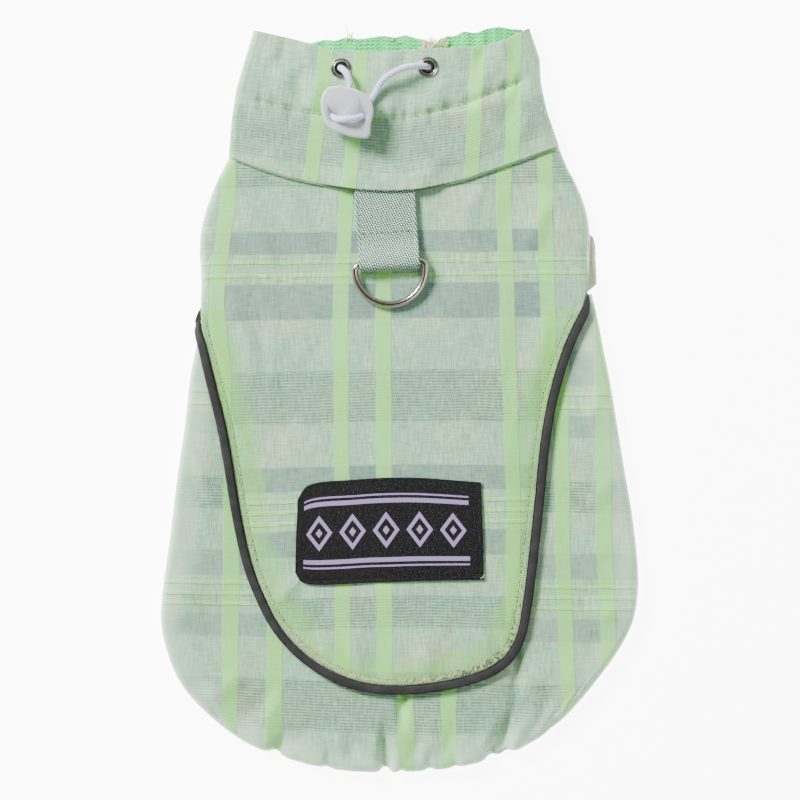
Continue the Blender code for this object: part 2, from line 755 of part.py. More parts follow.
PIPING_STEPS = 64
PIPING_SIDES = 8


def cape_piping(finish):
    """The piping that edges the cape and lies on the back panel."""
    plan = smooth_curve(PIPING_LINE, PIPING_STEPS)
    lift = LAYER_GAP + PIPING_HEIGHT / 2.0
    height = over_back(plan[:, 0], plan[:, 1], lift)
    normals = surface_normals(plan[:, 0], plan[:, 1], lift)
    section = ellipse(PIPING_WIDTH / 2.0, PIPING_HEIGHT / 2.0, PIPING_SIDES)
    mesh = swept(np.column_stack((plan, height)), normals, section)
    return new_object("cape_piping", mesh, finish)


# ---------------------------------------------------------------- underside
BELLY_HEM = -84.0           # y of the belly panel's hem at its middle
BELLY_HEM_DIP = 5.0
ARMHOLE_CLEAR = 0.7         # room between the belly panel and the turned-under edges' ends


def slab(outline, low, high):
    """A flat panel: a plan outline raised from one height to another."""
    mesh = bmesh.new()
    face = mesh.faces.new([mesh.verts.new((x, y, low)) for x, y in outline])
    grown = bmesh.ops.extrude_face_region(mesh, geom=[face])["geom"]
    raised = [item for item in grown if isinstance(item, bmesh.types.BMVert)]
    bmesh.ops.translate(mesh, vec=(0.0, 0.0, high - low), verts=raised)
    bmesh.ops.recalc_face_normals(mesh, faces=mesh.faces)
    return mesh


def belly_side(right):
    """One side of the belly panel, from its hem up to the neck, clear of what is turned under."""
    inward = left_of(BACK_CURVE)

    def beside(shares):
        point = along(BACK_CURVE, shares)
        return point + along(inward, shares) * (turned_under(point[:, 1]) + SEAM_GAP)[:, None]

    low = beside(np.linspace(0.5, float(side_share(BACK_CURVE, ARMHOLE_BOTTOM, right)), 121))
    low = low[low[:, 1] > BELLY_HEM]
    high = beside(np.linspace(float(side_share(BACK_CURVE, ARMHOLE_TOP, right)), 1.0 if right else 0.0, 61))
    neck = seam_line(121, 0.0)
    high = high[high[:, 1] < np.interp(high[:, 0], neck[:, 0], neck[:, 1]) - SEAM_GAP]
    binding = smooth_curve(BINDING_RIGHT if right else BINDING_LEFT, 30)[::-1]
    armhole = binding + np.array(((-1.0 if right else 1.0) * (BINDING_WIDTH + SEAM_GAP), 0.0))
    low_end = low[-1] + np.array((0.0, ARMHOLE_CLEAR))
    high_end = high[0] - np.array((0.0, ARMHOLE_CLEAR))
    return np.vstack((low[:-3:9], low[-1:], (low_end,), armhole[::5], (high_end,), high[:1], high[4::6]))


def belly_panel(finish):
    """The belly panel, flat on the ground between the edges that are turned under."""
    left = belly_side(False)
    right = belly_side(True)
    share = np.linspace(0.0, 1.0, 13)[1:-1]
    hem_y = BELLY_HEM + BELLY_HEM_DIP * np.sin(math.pi * share)
    hem_x = left[0, 0] + (right[0, 0] - left[0, 0]) * share
    neck = seam_line(121, 0.0) + np.array((0.0, -SEAM_GAP))
    between = neck[(neck[:, 0] > left[-1, 0] + 1.0) & (neck[:, 0] < right[-1, 0] - 1.0)][::6]
    outline = np.vstack((np.column_stack((hem_x, hem_y)), right, between[::-1], left[::-1]))
    mesh = slab(outline, 0.0, WALL)
    return new_object("belly_panel", mesh, finish)


def armhole_binding(name, edge, sideways, finish):
    """A flat bound edge beside the belly panel, along one armhole."""
    outer = smooth_curve(edge, 13)
    inner = outer + np.array((sideways * BINDING_WIDTH, 0.0))
    outline = np.vstack((outer, inner[::-1]))
    return new_object(name, slab(outline, 0.0, BINDING_WALL), finish)


# ---------------------------------------------------------------- collar
COLLAR_ACROSS = 28
COLLAR_UNDER = 8
COLLAR_TURN_STEPS = 4
COLLAR_RADIUS = 2.9
COLLAR_SEAM_RADIUS = 3.05
COLLAR_ROWS = (0.0, 0.06, 0.13, 0.2, 0.28, 0.36, 0.43, 0.49, 0.55, 0.63, 0.73, 0.83, 0.9, 0.95, 1.0)


def collar(finish):
    """The collar: a flattened tube, open at the neck and at the body."""
    around = COLLAR_ACROSS + COLLAR_UNDER + 2 * COLLAR_TURN_STEPS

    def on_collar(u, v):
        column_index = np.rint(u * around).astype(int) % around
        down = spread(COLLAR_ROWS, 1.0 - v)
        left, right = column(COLLAR_SIDES, down, 1), column(COLLAR_SIDES, down, 2)
        radius = COLLAR_RADIUS + (COLLAR_SEAM_RADIUS - COLLAR_RADIUS) * eased((down - 0.8) / 0.2)
        front = column_index <= COLLAR_ACROSS
        turn = (column_index - COLLAR_ACROSS) / COLLAR_TURN_STEPS
        on_right = (turn > 0.0) & (turn < 1.0)
        under = (column_index >= COLLAR_ACROSS + COLLAR_TURN_STEPS)
        under &= column_index <= COLLAR_ACROSS + COLLAR_TURN_STEPS + COLLAR_UNDER
        last = (column_index - COLLAR_ACROSS - COLLAR_TURN_STEPS - COLLAR_UNDER) / COLLAR_TURN_STEPS
        low_left, low_right = left + radius, right - radius
        back_share = (column_index - COLLAR_ACROSS - COLLAR_TURN_STEPS) / COLLAR_UNDER
        angle = np.where(on_right, math.pi / 2.0 - math.pi * turn, math.pi / 2.0 + math.pi * (1.0 - last))
        x = np.where(front, low_left + (low_right - low_left) * column_index / COLLAR_ACROSS,
                     np.where(under, low_right + (low_left - low_right) * back_share,
                              np.where(on_right, low_right, low_left) + radius * np.cos(angle)))
        share = np.clip((x - left) / (right - left), 0.0, 1.0)
        front_y = column(COLLAR_FRONT_TOP, share) * (1.0 - down) + column(COLLAR_SEAM, share) * down
        under_y = column(COLLAR_UNDER_TOP, share) * (1.0 - down) + column(COLLAR_SEAM, share) * down
        y = np.where(under, under_y, front_y)
        high = collar_front(x, y)
        crown = collar_front(np.where(x < 0.0, low_left, low_right), y)
        near = eased((np.minimum(x - low_left, low_right - x)) / 8.0)
        level = 2.0 * radius * (1.0 - near) + high * near
        height = np.where(front, level, np.where(under, 0.0, radius + radius * np.sin(angle)))
        return np.column_stack((x, y, height))

    mesh = placed_grid(around, len(COLLAR_ROWS) - 1, on_collar)
    bmesh.ops.remove_doubles(mesh, verts=mesh.verts, dist=1e-4)
    bmesh.ops.recalc_face_normals(mesh, faces=mesh.faces)
    return new_object("collar", mesh, finish, WALL)


def cut(thing, cutter):
    """Cut a solid out of an object, keeping the cutter as a hidden guide."""
    cutter.hide_render = True
    cutter.display_type = "WIRE"
    hole = thing.modifiers.new("Cut", "BOOLEAN")
    hole.operation = "DIFFERENCE"
    hole.object = cutter


def turned(profile, steps):
    """Turn a closed profile of (radius, height) pairs about the vertical axis."""
    mesh = bmesh.new()
    points = [mesh.verts.new((radius, 0.0, height)) for radius, height in profile]
    edges = [mesh.edges.new((points[index - 1], points[index])) for index in range(len(points))]
    bmesh.ops.spin(mesh, geom=points + edges, cent=(0.0, 0.0, 0.0), axis=(0.0, 0.0, 1.0),
                   angle=2.0 * math.pi, steps=steps, use_merge=True)
    bmesh.ops.remove_doubles(mesh, verts=mesh.verts, dist=1e-4)
    bmesh.ops.recalc_face_normals(mesh, faces=mesh.faces)
    return mesh


EYELET_SIDES = 16
EYELET_BACK_FLANGE = 4.1
EYELET_BACK_WALL = 0.4


def eyelet(side, wall_piece, finish):
    """A two-part metal eyelet through the casing, with the hole that it needs in the cloth."""
    x, y = EYELETS[side]
    cutter_mesh = bmesh.new()
    room = EYELET_BARREL + SEAM_GAP
    bmesh.ops.create_cone(cutter_mesh, cap_ends=True, segments=EYELET_SIDES, radius1=room, radius2=room,
                          depth=3.0 * WALL)
    bmesh.ops.translate(cutter_mesh, vec=(x, y, CASING_HEIGHT - WALL / 2.0), verts=cutter_mesh.verts)
    cut(wall_piece, new_object(f"eyelet_hole_{side}", cutter_mesh, finish))
    over = CASING_HEIGHT + SEAM_GAP
    under = CASING_HEIGHT - WALL - SEAM_GAP
    crown = over + EYELET_FLANGE
    back = under - EYELET_BACK_WALL
    profile = (
        (EYELET_HOLE, back),
        (EYELET_BACK_FLANGE, back),
        (EYELET_BACK_FLANGE, under),
        (EYELET_BARREL, under),
        (EYELET_BARREL, over),
        (EYELET_OUTER, over),
        (EYELET_OUTER - 0.3, crown - 0.1),
        (EYELET_BARREL + 0.1, crown + 0.15),
        (EYELET_HOLE, crown - 0.15),
    )
    mesh = turned(profile, EYELET_SIDES)
    bmesh.ops.translate(mesh, vec=(x, y, 0.0), verts=mesh.verts)
    return new_object(f"eyelet_{side}", mesh, finish)


def collar_lining(finish):
    """The lining inside the neck, on the collar's under layer."""
    top = smooth_curve(LINING_TOP, 37)
    low = top[::-6] - np.array((0.0, LINING_DEPTH))
    base = WALL + SEAM_GAP
    return new_object("collar_lining", slab(np.vstack((top, low)), base, base + LINING_WALL), finish)


# ---------------------------------------------------------------- trim
def webbing_point(sideways, up):
    """Plan position on the webbing: sideways and up from the ring's bar."""
    bar_x, bar_y = WEBBING_BAR
    turn_cos, turn_sin = math.cos(WEBBING_TURN), math.sin(WEBBING_TURN)
    return bar_x + sideways * turn_cos - up * turn_sin, bar_y + sideways * turn_sin + up * turn_cos


def cape_height(x, y):
    """Height of the cape's outer face."""
    return over_back(np.asarray(x, float), np.asarray(y, float), LAYER)


def bar_height():
    """Height of the ring's bar inside the webbing."""
    return float(cape_height(*WEBBING_BAR)) + LAYER_GAP + WEBBING_WALL + RING_BAR_ROOM


def webbing_loop(finish):
    """The doubled webbing, folded round the ring's bar and sewn flat above it."""
    bar_z = bar_height()
    base = float(cape_height(*WEBBING_BAR))
    turn_radius = RING_BAR_ROOM + WEBBING_WALL / 2.0
    low_lift = LAYER_GAP + WEBBING_WALL / 2.0
    high_lift = low_lift + WEBBING_WALL + SEAM_GAP
    low = [(up, low_lift) for up in np.linspace(WEBBING_TOP, 3.0, 8)]
    angles = np.linspace(0.0, math.pi, 11)
    middle = bar_z - base
    turn = [(-turn_radius * math.sin(angle), middle - turn_radius * math.cos(angle)) for angle in angles]
    drop = middle + turn_radius - high_lift
    sloping = np.linspace(2.0, WEBBING_STITCH, 5)
    high = [(up, high_lift + drop * (1.0 - float(eased(up / WEBBING_STITCH)))) for up in sloping]
    high += [(up, high_lift) for up in np.linspace(WEBBING_STITCH + 3.0, WEBBING_TOP, 6)]
    route = np.array(low + turn + high)

    def place(u, v):
        up, lift = route[np.rint(v * (len(route) - 1)).astype(int)].T
        x, y = webbing_point((u - 0.5) * WEBBING_WIDTH, up)
        level = cape_height(x, y)
        near_bar = 1.0 - eased((up - 3.0) / 6.0)
        return np.column_stack((x, y, lift + base * near_bar + level * (1.0 - near_bar)))

    mesh = placed_grid(4, len(route) - 1, place)
    bmesh.ops.reverse_faces(mesh, faces=mesh.faces)
    return new_object("webbing_loop", mesh, finish, WEBBING_WALL, offset=0.0)


RING_SIDES = 8
RING_TURN_STEPS = 4
RING_BOW_STEPS = 18


def ring_outline():
    """The ring's wire in its own plane: the bar lies along x, the bow hangs to -y."""
    reach = RING_HALF_WIDTH - RING_CORNER
    points = [(share * reach, 0.0) for share in (-0.6, -0.2, 0.2, 0.6)]
    for step in range(RING_TURN_STEPS + 1):
        turn = math.pi / 2.0 * (1.0 - step / RING_TURN_STEPS)
        points.append((reach + RING_CORNER * math.cos(turn), RING_CORNER * (math.sin(turn) - 1.0)))
    for step in range(1, RING_BOW_STEPS):
        turn = -math.pi * step / RING_BOW_STEPS
        points.append((RING_HALF_WIDTH * math.cos(turn), RING_HALF_WIDTH * math.sin(turn) - RING_CORNER))
    for step in range(RING_TURN_STEPS + 1):
        turn = math.pi + -math.pi / 2.0 * step / RING_TURN_STEPS
        points.append((-reach + RING_CORNER * math.cos(turn), RING_CORNER * (math.sin(turn) - 1.0)))
    return np.array(points)


def ring_tip():
    """How far the ring reaches from its bar, and how far its bow drops to lie on the cape."""
    reach = RING_HALF_WIDTH + RING_CORNER
    tip = webbing_point(0.0, -reach)
    return reach, bar_height() - (float(cape_height(*tip)) + LAYER_GAP + RING_WIRE / 2.0)


def d_ring(finish):
    """The leash ring, its bar in the webbing and its bow lying on the cape."""
    outline = ring_outline()
    reach, drop = ring_tip()
    slope = math.asin(drop / reach)
    x, y = webbing_point(outline[:, 0], outline[:, 1] * math.cos(slope))
    path = np.column_stack((x, y, bar_height() + outline[:, 1] * math.sin(slope)))
    up = np.array(webbing_point(0.0, 1.0)) - np.array(WEBBING_BAR)
    normal = np.array((-up[0] * math.sin(slope), -up[1] * math.sin(slope), math.cos(slope)))
    section = ellipse(RING_WIRE / 2.0, RING_WIRE / 2.0, RING_SIDES)
    mesh = swept(path, np.tile(normal, (len(path), 1)), section, closed=True)
    ring = new_object("d_ring", mesh, finish)
    pivot = Vector((*WEBBING_BAR, bar_height())) * MM
    for vertex in ring.data.vertices:
        vertex.co -= pivot
    ring.location = pivot
    return ring


def cord_curve(count):
    """The drawcord's route as evenly spaced points."""
    return smooth_curve(CORD_ROUTE, count)


def tube(name, points, radius, sides_resolution, finish):
    """A round cord along points in millimetres."""
    data = bpy.data.curves.new(name, "CURVE")
    data.dimensions = "3D"
    data.bevel_depth = radius * MM
    data.bevel_resolution = sides_resolution
    data.use_fill_caps = True
    line = data.splines.new("POLY")
    line.points.add(len(points) - 1)
    for place, point in zip(line.points, points):
        place.co = (*(Vector(point) * MM), 1.0)
    data.materials.append(finish)
    thing = bpy.data.objects.new(name, data)
    bpy.context.scene.collection.objects.link(thing)
    return thing


def drawcord(finish):
    """The elastic cord, out of one eyelet, through the lock and into the other."""
    return tube("drawcord", cord_curve(CORD_STEPS), CORD_WIDTH / 2.0, 2, finish)


def cord_lock(finish):
    """The soft lock: a bevelled tab with the cord's two slanting ways through it."""
    outline = smooth_curve(LOCK_EDGE_LINE + LOCK_EDGE_LINE[:1], 23)[:-1]
    mesh = slab(outline, LOCK_BASE, LOCK_BASE + LOCK_WALL)
    lock = new_object("cord_lock", mesh, finish)
    soften = lock.modifiers.new("Soft edge", "BEVEL")
    soften.width = LOCK_EDGE * MM
    soften.segments = 1
    soften.limit_method = "ANGLE"
    soften.angle_limit = math.radians(60.0)
    route = cord_curve(90)
    way_radius = CORD_WIDTH / 2.0 + CORD_ROOM
    ways = swept(route, np.tile(CORD_WAY_SIDE, (len(route), 1)), ellipse(way_radius, way_radius, 10))
    cut(lock, new_object("cord_way", ways, finish))
    return lock


def label(finish):
    """The woven label, one layer above the cape."""
    left = smooth_curve(LABEL_LEFT[::-1], 31)
    right = smooth_curve(LABEL_RIGHT[::-1], 31)
    bottom = smooth_curve(LABEL_BOTTOM, 31)
    top = smooth_curve(LABEL_TOP, 31)

    def on_cape(u, v):
        plan = coons(u, v, left, right, bottom, top)
        return np.column_stack((plan, over_back(plan[:, 0], plan[:, 1], LAYER + LAYER_GAP + LABEL_WALL)))

    return new_object("label", placed_grid(9, 5, on_cape), finish, LABEL_WALL)


def main():
    """Clear the scene and build every piece."""
    for thing in list(bpy.data.objects):
        bpy.data.objects.remove(thing, do_unlink=True)
    plaid = material("plaid_cloth", (0.62, 0.78, 0.68), 0.85)
    reflective = material("reflective_tape", (0.08, 0.08, 0.09), 0.55)
    cream = material("cream_binding", (0.80, 0.74, 0.66), 0.9)
    pale_green = material("green_binding", (0.60, 0.82, 0.55), 0.9)
    mint_mesh = material("mint_mesh", (0.40, 0.86, 0.60), 0.85)
    webbing = material("sage_webbing", (0.42, 0.60, 0.50), 0.8)
    nickel = material("nickel", (0.72, 0.68, 0.62), 0.25, 1.0)
    elastic = material("white_elastic", (0.86, 0.86, 0.92), 0.7)
    silicone = material("milky_silicone", (0.86, 0.88, 0.88), 0.4)
    black_weave = material("black_weave", (0.02, 0.02, 0.02), 0.8)
    back_panel(plaid)
    belly_panel(plaid)
    cape(plaid)
    cape_piping(reflective)
    armhole_binding("armhole_binding_left", BINDING_LEFT, 1.0, pale_green)
    armhole_binding("armhole_binding_right", BINDING_RIGHT, -1.0, cream)
    neck_piece = collar(plaid)
    for side in EYELETS:
        eyelet(side, neck_piece, nickel)
    collar_lining(mint_mesh)
    webbing_loop(webbing)
    d_ring(nickel)
    drawcord(elastic)
    cord_lock(silicone)
    label(black_weave)


if __name__ == "__main__":
    main()
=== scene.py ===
"""Dog tank top, laid flat with its back up: cloth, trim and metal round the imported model.

Lengths are in millimetres in the tables and functions, and become metres where a
mesh is placed.  +X is to the right, +Y runs from the hem to the neck, +Z is up,
and the cloth lies on z = 0.
"""

import math

import bmesh
import bpy
import numpy as np
from bpy.props import FloatProperty, FloatVectorProperty, IntProperty, PointerProperty
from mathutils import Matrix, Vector


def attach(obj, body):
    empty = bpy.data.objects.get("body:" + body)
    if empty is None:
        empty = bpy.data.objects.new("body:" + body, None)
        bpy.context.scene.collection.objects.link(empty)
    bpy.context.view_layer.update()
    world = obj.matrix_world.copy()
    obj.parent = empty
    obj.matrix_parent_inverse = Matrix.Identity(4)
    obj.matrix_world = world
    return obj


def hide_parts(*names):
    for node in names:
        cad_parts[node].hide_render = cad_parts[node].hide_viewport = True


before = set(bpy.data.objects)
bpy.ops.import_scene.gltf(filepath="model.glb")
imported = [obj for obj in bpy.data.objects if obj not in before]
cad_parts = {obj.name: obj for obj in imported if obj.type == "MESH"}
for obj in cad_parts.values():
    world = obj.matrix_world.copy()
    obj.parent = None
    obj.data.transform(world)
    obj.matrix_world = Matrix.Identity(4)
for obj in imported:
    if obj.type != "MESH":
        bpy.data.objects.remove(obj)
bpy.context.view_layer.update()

bl_info = {
    "name": "Dog tank top",
    "version": (1, 0, 0),
    "blender": (4, 5, 0),
    "location": "3D View > Sidebar > Dog top",
    "description": "Builds a dog tank top in checked cloth, laid flat, round its packed solids",
    "category": "Object",
}

MM = 0.001

# ---------------------------------------------------------------- sizes of the solids
WALL = 1.0
LAYER_GAP = 0.35
SEAM_GAP = 0.3
LAYER = WALL + LAYER_GAP
HEM_TURN = 15.0
SIDE_TURN = 22.0
SHOULDER_TURN = 12.0
NECK_TUCK = 3.0
NECK_TUCK_FADE = 15.0
PIPING_WIDTH = 3.5
PIPING_HEIGHT = 2.4
LINING_WALL = 0.8
LINING_DEPTH = 20.0
BINDING_WIDTH = 5.4
BINDING_WALL = 1.4
WEBBING_WIDTH = 24.6
WEBBING_WALL = 1.0
WEBBING_TURN = math.radians(4.0)
WEBBING_BAR = (-4.1, 55.7)
WEBBING_TOP = 31.6
WEBBING_STITCH = 10.0
RING_WIRE = 2.9
RING_HALF_WIDTH = 14.4
RING_CORNER = 2.4
RING_BAR_ROOM = 1.85
EYELET_OUTER = 4.25
EYELET_HOLE = 2.75
EYELET_BARREL = 3.3
EYELETS = {"left": (-23.8, 135.4), "right": (11.6, 135.9)}
CASING_HEIGHT = 5.8
CORD_WIDTH = 2.6
CORD_ROOM = 0.4
LOCK_BASE = 10.6
LOCK_WALL = 4.6
LOCK_EDGE = 0.9
LABEL_WALL = 0.8

# ---------------------------------------------------------------- outlines
# Columns: x, y.  The back panel's edge, from the neck down the left side,
# round the hem and up the right side.
BACK_EDGE = (
    (-68.5, 98.6), (-70.5, 95.1), (-75.0, 85.3), (-79.0, 73.0), (-80.3, 63.0), (-79.8, 51.0),
    (-80.1, 41.0), (-81.4, 32.0), (-83.2, 22.0), (-85.7, 9.0), (-87.6, -8.2), (-90.8, -30.7),
    (-94.1, -57.4), (-96.8, -77.1), (-97.7, -89.4), (-95.3, -102.5), (-89.2, -116.4),
    (-78.5, -128.4), (-63.8, -139.6), (-47.8, -146.2), (-28.5, -150.9), (-10.0, -152.4),
    (8.4, -151.9), (21.9, -150.6), (35.9, -147.6), (47.4, -143.6), (60.9, -135.8), (71.0, -126.3),
    (80.6, -114.8), (89.6, -102.5), (95.6, -90.4), (97.6, -78.7), (97.4, -65.6), (95.3, -47.6),
    (92.0, -27.9), (88.8, -8.2), (86.4, 6.6), (83.6, 20.5), (81.0, 34.0), (79.2, 41.5),
    (77.2, 48.0), (76.1, 58.0), (76.1, 69.0), (74.6, 77.9), (71.1, 87.7), (67.2, 95.1),
    (64.1, 102.6),
)
# The cape's edge at the shoulders and armholes, from the neck down.
CAPE_LEFT = (
    (-69.1, 100.6), (-69.9, 98.8), (-72.0, 95.1), (-76.5, 85.3), (-80.5, 73.0), (-81.8, 62.5),
    (-81.2, 51.0), (-81.3, 43.4),
)
CAPE_RIGHT = (
    (64.7, 104.9), (65.6, 102.8), (68.7, 95.1), (72.6, 87.7), (76.3, 77.9), (77.8, 69.0),
    (77.8, 58.0), (77.4, 48.5),
)
# The middle of the piping along the cape's free edge, left tip to right tip.
PIPING_LINE = (
    (-82.2, 40.4), (-83.3, 34.1), (-82.8, 28.6), (-80.6, 20.6), (-76.0, 2.3), (-72.4, -13.1),
    (-69.4, -30.7), (-66.2, -50.0), (-62.0, -68.0), (-57.2, -80.5), (-51.0, -92.4), (-42.4, -102.5),
    (-31.8, -110.5), (-21.1, -115.6), (-10.5, -118.1), (1.0, -118.6), (12.5, -117.8),
    (24.8, -115.5), (37.0, -111.4), (44.5, -106.0), (49.2, -98.0), (51.8, -87.0), (54.7, -65.3),
    (57.1, -43.6), (59.4, -20.0), (61.9, -4.0), (65.1, 9.0), (69.0, 21.0), (73.2, 30.5),
    (76.9, 38.0), (78.3, 43.6),
)
# Columns: share of the collar's width from its left side, y of that point.
COLLAR_FRONT_TOP = (
    (0.0, 151.1), (0.13, 147.8), (0.21, 145.5), (0.28, 142.9), (0.40, 142.5), (0.48, 142.0),
    (0.58, 143.3), (0.75, 144.0), (0.83, 144.6), (0.91, 147.0), (1.0, 152.1),
)
COLLAR_UNDER_TOP = (
    (0.0, 151.1), (0.13, 146.8), (0.26, 145.4), (0.40, 147.4), (0.55, 147.3), (0.65, 145.6),
    (0.74, 147.4), (0.83, 150.2), (0.92, 151.3), (1.0, 152.1),
)
COLLAR_SEAM = (
    (0.0, 99.3), (0.08, 95.3), (0.18, 91.0), (0.27, 88.4), (0.38, 86.0), (0.48, 85.2), (0.58, 86.0),
    (0.71, 89.9), (0.84, 96.0), (1.0, 103.6),
)
# Columns: share of the collar's height from its top, x of the left side and
# x of the right side there.
COLLAR_SIDES = (
    (0.0, -59.7, 53.1), (0.25, -63.6, 57.4), (0.46, -66.8, 57.9), (0.70, -68.7, 60.4),
    (1.0, -69.9, 65.4),
)
# The top edge of the lining, left to right.
LINING_TOP = (
    (-50.0, 146.4), (-34.2, 146.6), (-22.8, 147.9), (-11.5, 148.4), (8.8, 148.2), (14.1, 145.6),
    (19.5, 148.8), (32.6, 151.1), (41.2, 152.3), (48.5, 152.2),
)
LABEL_LEFT = ((-41.6, -40.6), (-42.2, -55.0), (-42.6, -70.4))
LABEL_RIGHT = ((33.2, -33.6), (34.0, -52.0), (34.4, -73.4))
LABEL_TOP = ((-41.6, -40.6), (-37.6, -35.1), (-18.0, -32.5), (3.0, -31.6), (33.2, -33.6))
LABEL_BOTTOM = ((-42.6, -70.4), (-39.6, -74.4), (-10.0, -74.5), (10.0, -73.9), (34.4, -73.4))
# The outer edge of each armhole binding, from the shoulder down.
BINDING_LEFT = ((-79.6, 70.6), (-81.2, 64.0), (-81.4, 56.0), (-80.6, 50.5), (-80.4, 43.4))
BINDING_RIGHT = ((77.4, 70.6), (80.0, 65.0), (80.5, 57.0), (80.8, 50.5), (80.8, 43.4))
LOCK_EDGE_LINE = (
    (-24.6, 127.6), (-29.2, 126.6), (-31.9, 121.6), (-31.0, 114.4), (-29.2, 111.0), (-24.6, 108.5),
    (-18.0, 106.6), (-12.6, 106.8), (-11.6, 112.0), (-10.6, 117.6), (-12.2, 122.4), (-16.4, 125.4),
)
# The drawcord's route: x, y, z, from the left eyelet to the right one.
CORD_ROUTE = (
    (-24.3, 135.8, 4.4), (-23.8, 135.3, 6.5), (-22.4, 134.0, 8.7), (-20.9, 131.5, 9.8),
    (-20.2, 128.1, 9.4), (-21.3, 124.6, 8.4), (-24.0, 121.5, 8.0), (-26.3, 119.1, 9.0),
    (-27.6, 117.0, 11.4), (-27.0, 114.9, 14.6), (-24.3, 113.6, 17.3), (-20.4, 113.6, 18.2),
    (-16.9, 114.3, 16.8), (-14.6, 115.8, 13.3), (-14.6, 118.1, 10.1), (-13.0, 120.6, 8.2),
    (-9.9, 125.0, 7.9), (-6.9, 130.0, 9.3), (-3.0, 132.9, 10.9), (1.8, 135.0, 11.0),
    (6.6, 136.0, 9.6), (10.0, 136.1, 7.3), (11.9, 135.9, 4.4),
)

# ---------------------------------------------------------------- heights
# Columns: y, outer radius of the side fold, height of the back panel's outer
# face away from the fold.
LIE = (
    (-160.0, 2.6, 3.9), (-120.0, 2.8, 3.9), (-85.0, 2.9, 3.5), (-40.0, 2.9, 3.1), (0.0, 2.8, 3.0),
    (35.0, 2.4, 2.8), (60.0, 2.1, 2.6), (85.0, 1.8, 2.5), (105.0, 1.7, 2.45),
)
FOLD_SPREAD = 18.0          # how far from a side fold the cloth still stands up

# Soft troughs and ridges of the back panel and of what lies on it.
# Columns: x and y at the strong end, x and y at the fading end, half width,
# height (negative is a trough).
BODY_FOLDS = (
    (-46.0, 88.0, -22.0, 66.0, 9.0, 0.35), (-52.0, 76.0, -30.0, 52.0, 8.0, -0.25),
    (40.0, 80.0, 58.0, 56.0, 9.0, 0.30), (-58.0, 34.0, -44.0, 4.0, 9.0, 0.30),
    (44.0, 30.0, 34.0, 0.0, 10.0, 0.30), (-5.4, -156.0, -6.4, -130.0, 2.6, -2.8),
    (1.4, -156.0, 1.0, -124.0, 4.4, 1.0), (-13.5, -156.0, -13.0, -130.0, 5.0, 0.9),
    (37.2, -150.0, 48.5, -122.0, 3.4, -2.2), (48.5, -124.0, 46.5, -104.0, 5.0, -1.0),
    (43.8, -148.0, 55.0, -124.0, 3.6, 0.9), (28.5, -154.0, 30.5, -130.0, 4.6, 0.9),
    (-51.0, -150.0, -42.0, -128.0, 4.2, -1.6), (-60.5, -146.0, -50.0, -118.0, 5.4, 0.7),
    (-33.5, -154.0, -29.0, -130.0, 4.6, 0.6), (-84.0, -128.0, -66.0, -112.0, 5.0, 0.5),
    (79.0, -122.0, 66.0, -106.0, 5.0, 0.5),
)
GATHERS = 13                # gathers drawn up by the elastic along the hem
GATHER_HEIGHT = 0.45
GATHER_REACH = 9.0          # how far a gather runs in from the hem
COLLAR_PUCKERS = 11         # puckers across the collar along the casing seam
PUCKER_HEIGHT = 0.28
PUCKER_REACH = 7.0
CASING_SEAM_UP = 26.75      # from the neck seam up to the casing's stitching, at the left
CASING_SEAM_RISE = 6.0      # how much higher that is at the right
CASING_SEAM_WIDTH = 2.6
CASING_SEAM_DEPTH = 0.9
EYELET_FLAT = 6.5           # the cloth is level this far round an eyelet
EYELET_FLAT_FADE = 4.0
WEBBING_BUMP = 2.75         # how far the webbing's end lifts the collar
WEBBING_BUMP_HALF = 14.5
WEBBING_BUMP_FADE = 13.0


def smooth_curve(points, count):
    """Points spaced evenly along a smooth curve through the given ones."""
    knots = np.asarray(points, float)
    spans = np.sqrt(np.linalg.norm(np.diff(knots, axis=0), axis=1))
    slopes = np.diff(knots, axis=0) / spans[:, None]
    inner = slopes[:-1] * spans[1:, None] + slopes[1:] * spans[:-1, None]
    inner /= (spans[:-1] + spans[1:])[:, None]
    tangents = np.vstack((slopes[:1], inner, slopes[-1:]))
    steps = 24
    share = np.linspace(0.0, 1.0, steps, endpoint=False)[:, None]
    pieces = []
    for index, span in enumerate(spans):
        start, end = knots[index], knots[index + 1]
        out, into = tangents[index] * span, tangents[index + 1] * span
        ease = share * share * (3 - 2 * share)
        bent = out * share * (1 - share) ** 2 - into * share**2 * (1 - share)
        pieces.append(start * (1 - ease) + end * ease + bent)
    fine = np.vstack(pieces + [knots[-1:]])
    lengths = run_along(fine)
    places = np.linspace(0.0, lengths[-1], count)
    return np.stack([np.interp(places, lengths, fine[:, axis]) for axis in range(fine.shape[1])], axis=1)


def along(curve, share):
    """The points of a sampled curve at each share of its length."""
    places = np.linspace(0.0, 1.0, len(curve))
    return np.stack([np.interp(share, places, curve[:, axis]) for axis in range(curve.shape[1])], axis=-1)


def column(table, place, value=1):
    """Read one column of a table at a place along its first column, smoothly."""
    rows = np.asarray(sorted(table), float)
    fine = np.linspace(rows[0, 0], rows[-1, 0], 241)
    curve = np.interp(fine, rows[:, 0], rows[:, value])
    blur = np.ones(13) / 13.0
    padded = np.concatenate((2 * curve[0] - curve[6:0:-1], curve, 2 * curve[-1] - curve[-2:-8:-1]))
    return np.interp(place, fine, np.convolve(padded, blur, "valid"))


def eased(share):
    """0 to 1 with level ends."""
    share = np.clip(share, 0.0, 1.0)
    return share * share * (3.0 - 2.0 * share)


def left_of(curve):
    """Unit vectors to the left of a plan curve's direction of travel."""
    steps = np.gradient(curve, axis=0)
    steps /= np.linalg.norm(steps, axis=1)[:, None]
    return np.stack((-steps[:, 1], steps[:, 0]), axis=1)


def unit(vectors):
    """Rows of vectors at length 1."""
    return vectors / np.linalg.norm(vectors, axis=1)[:, None]


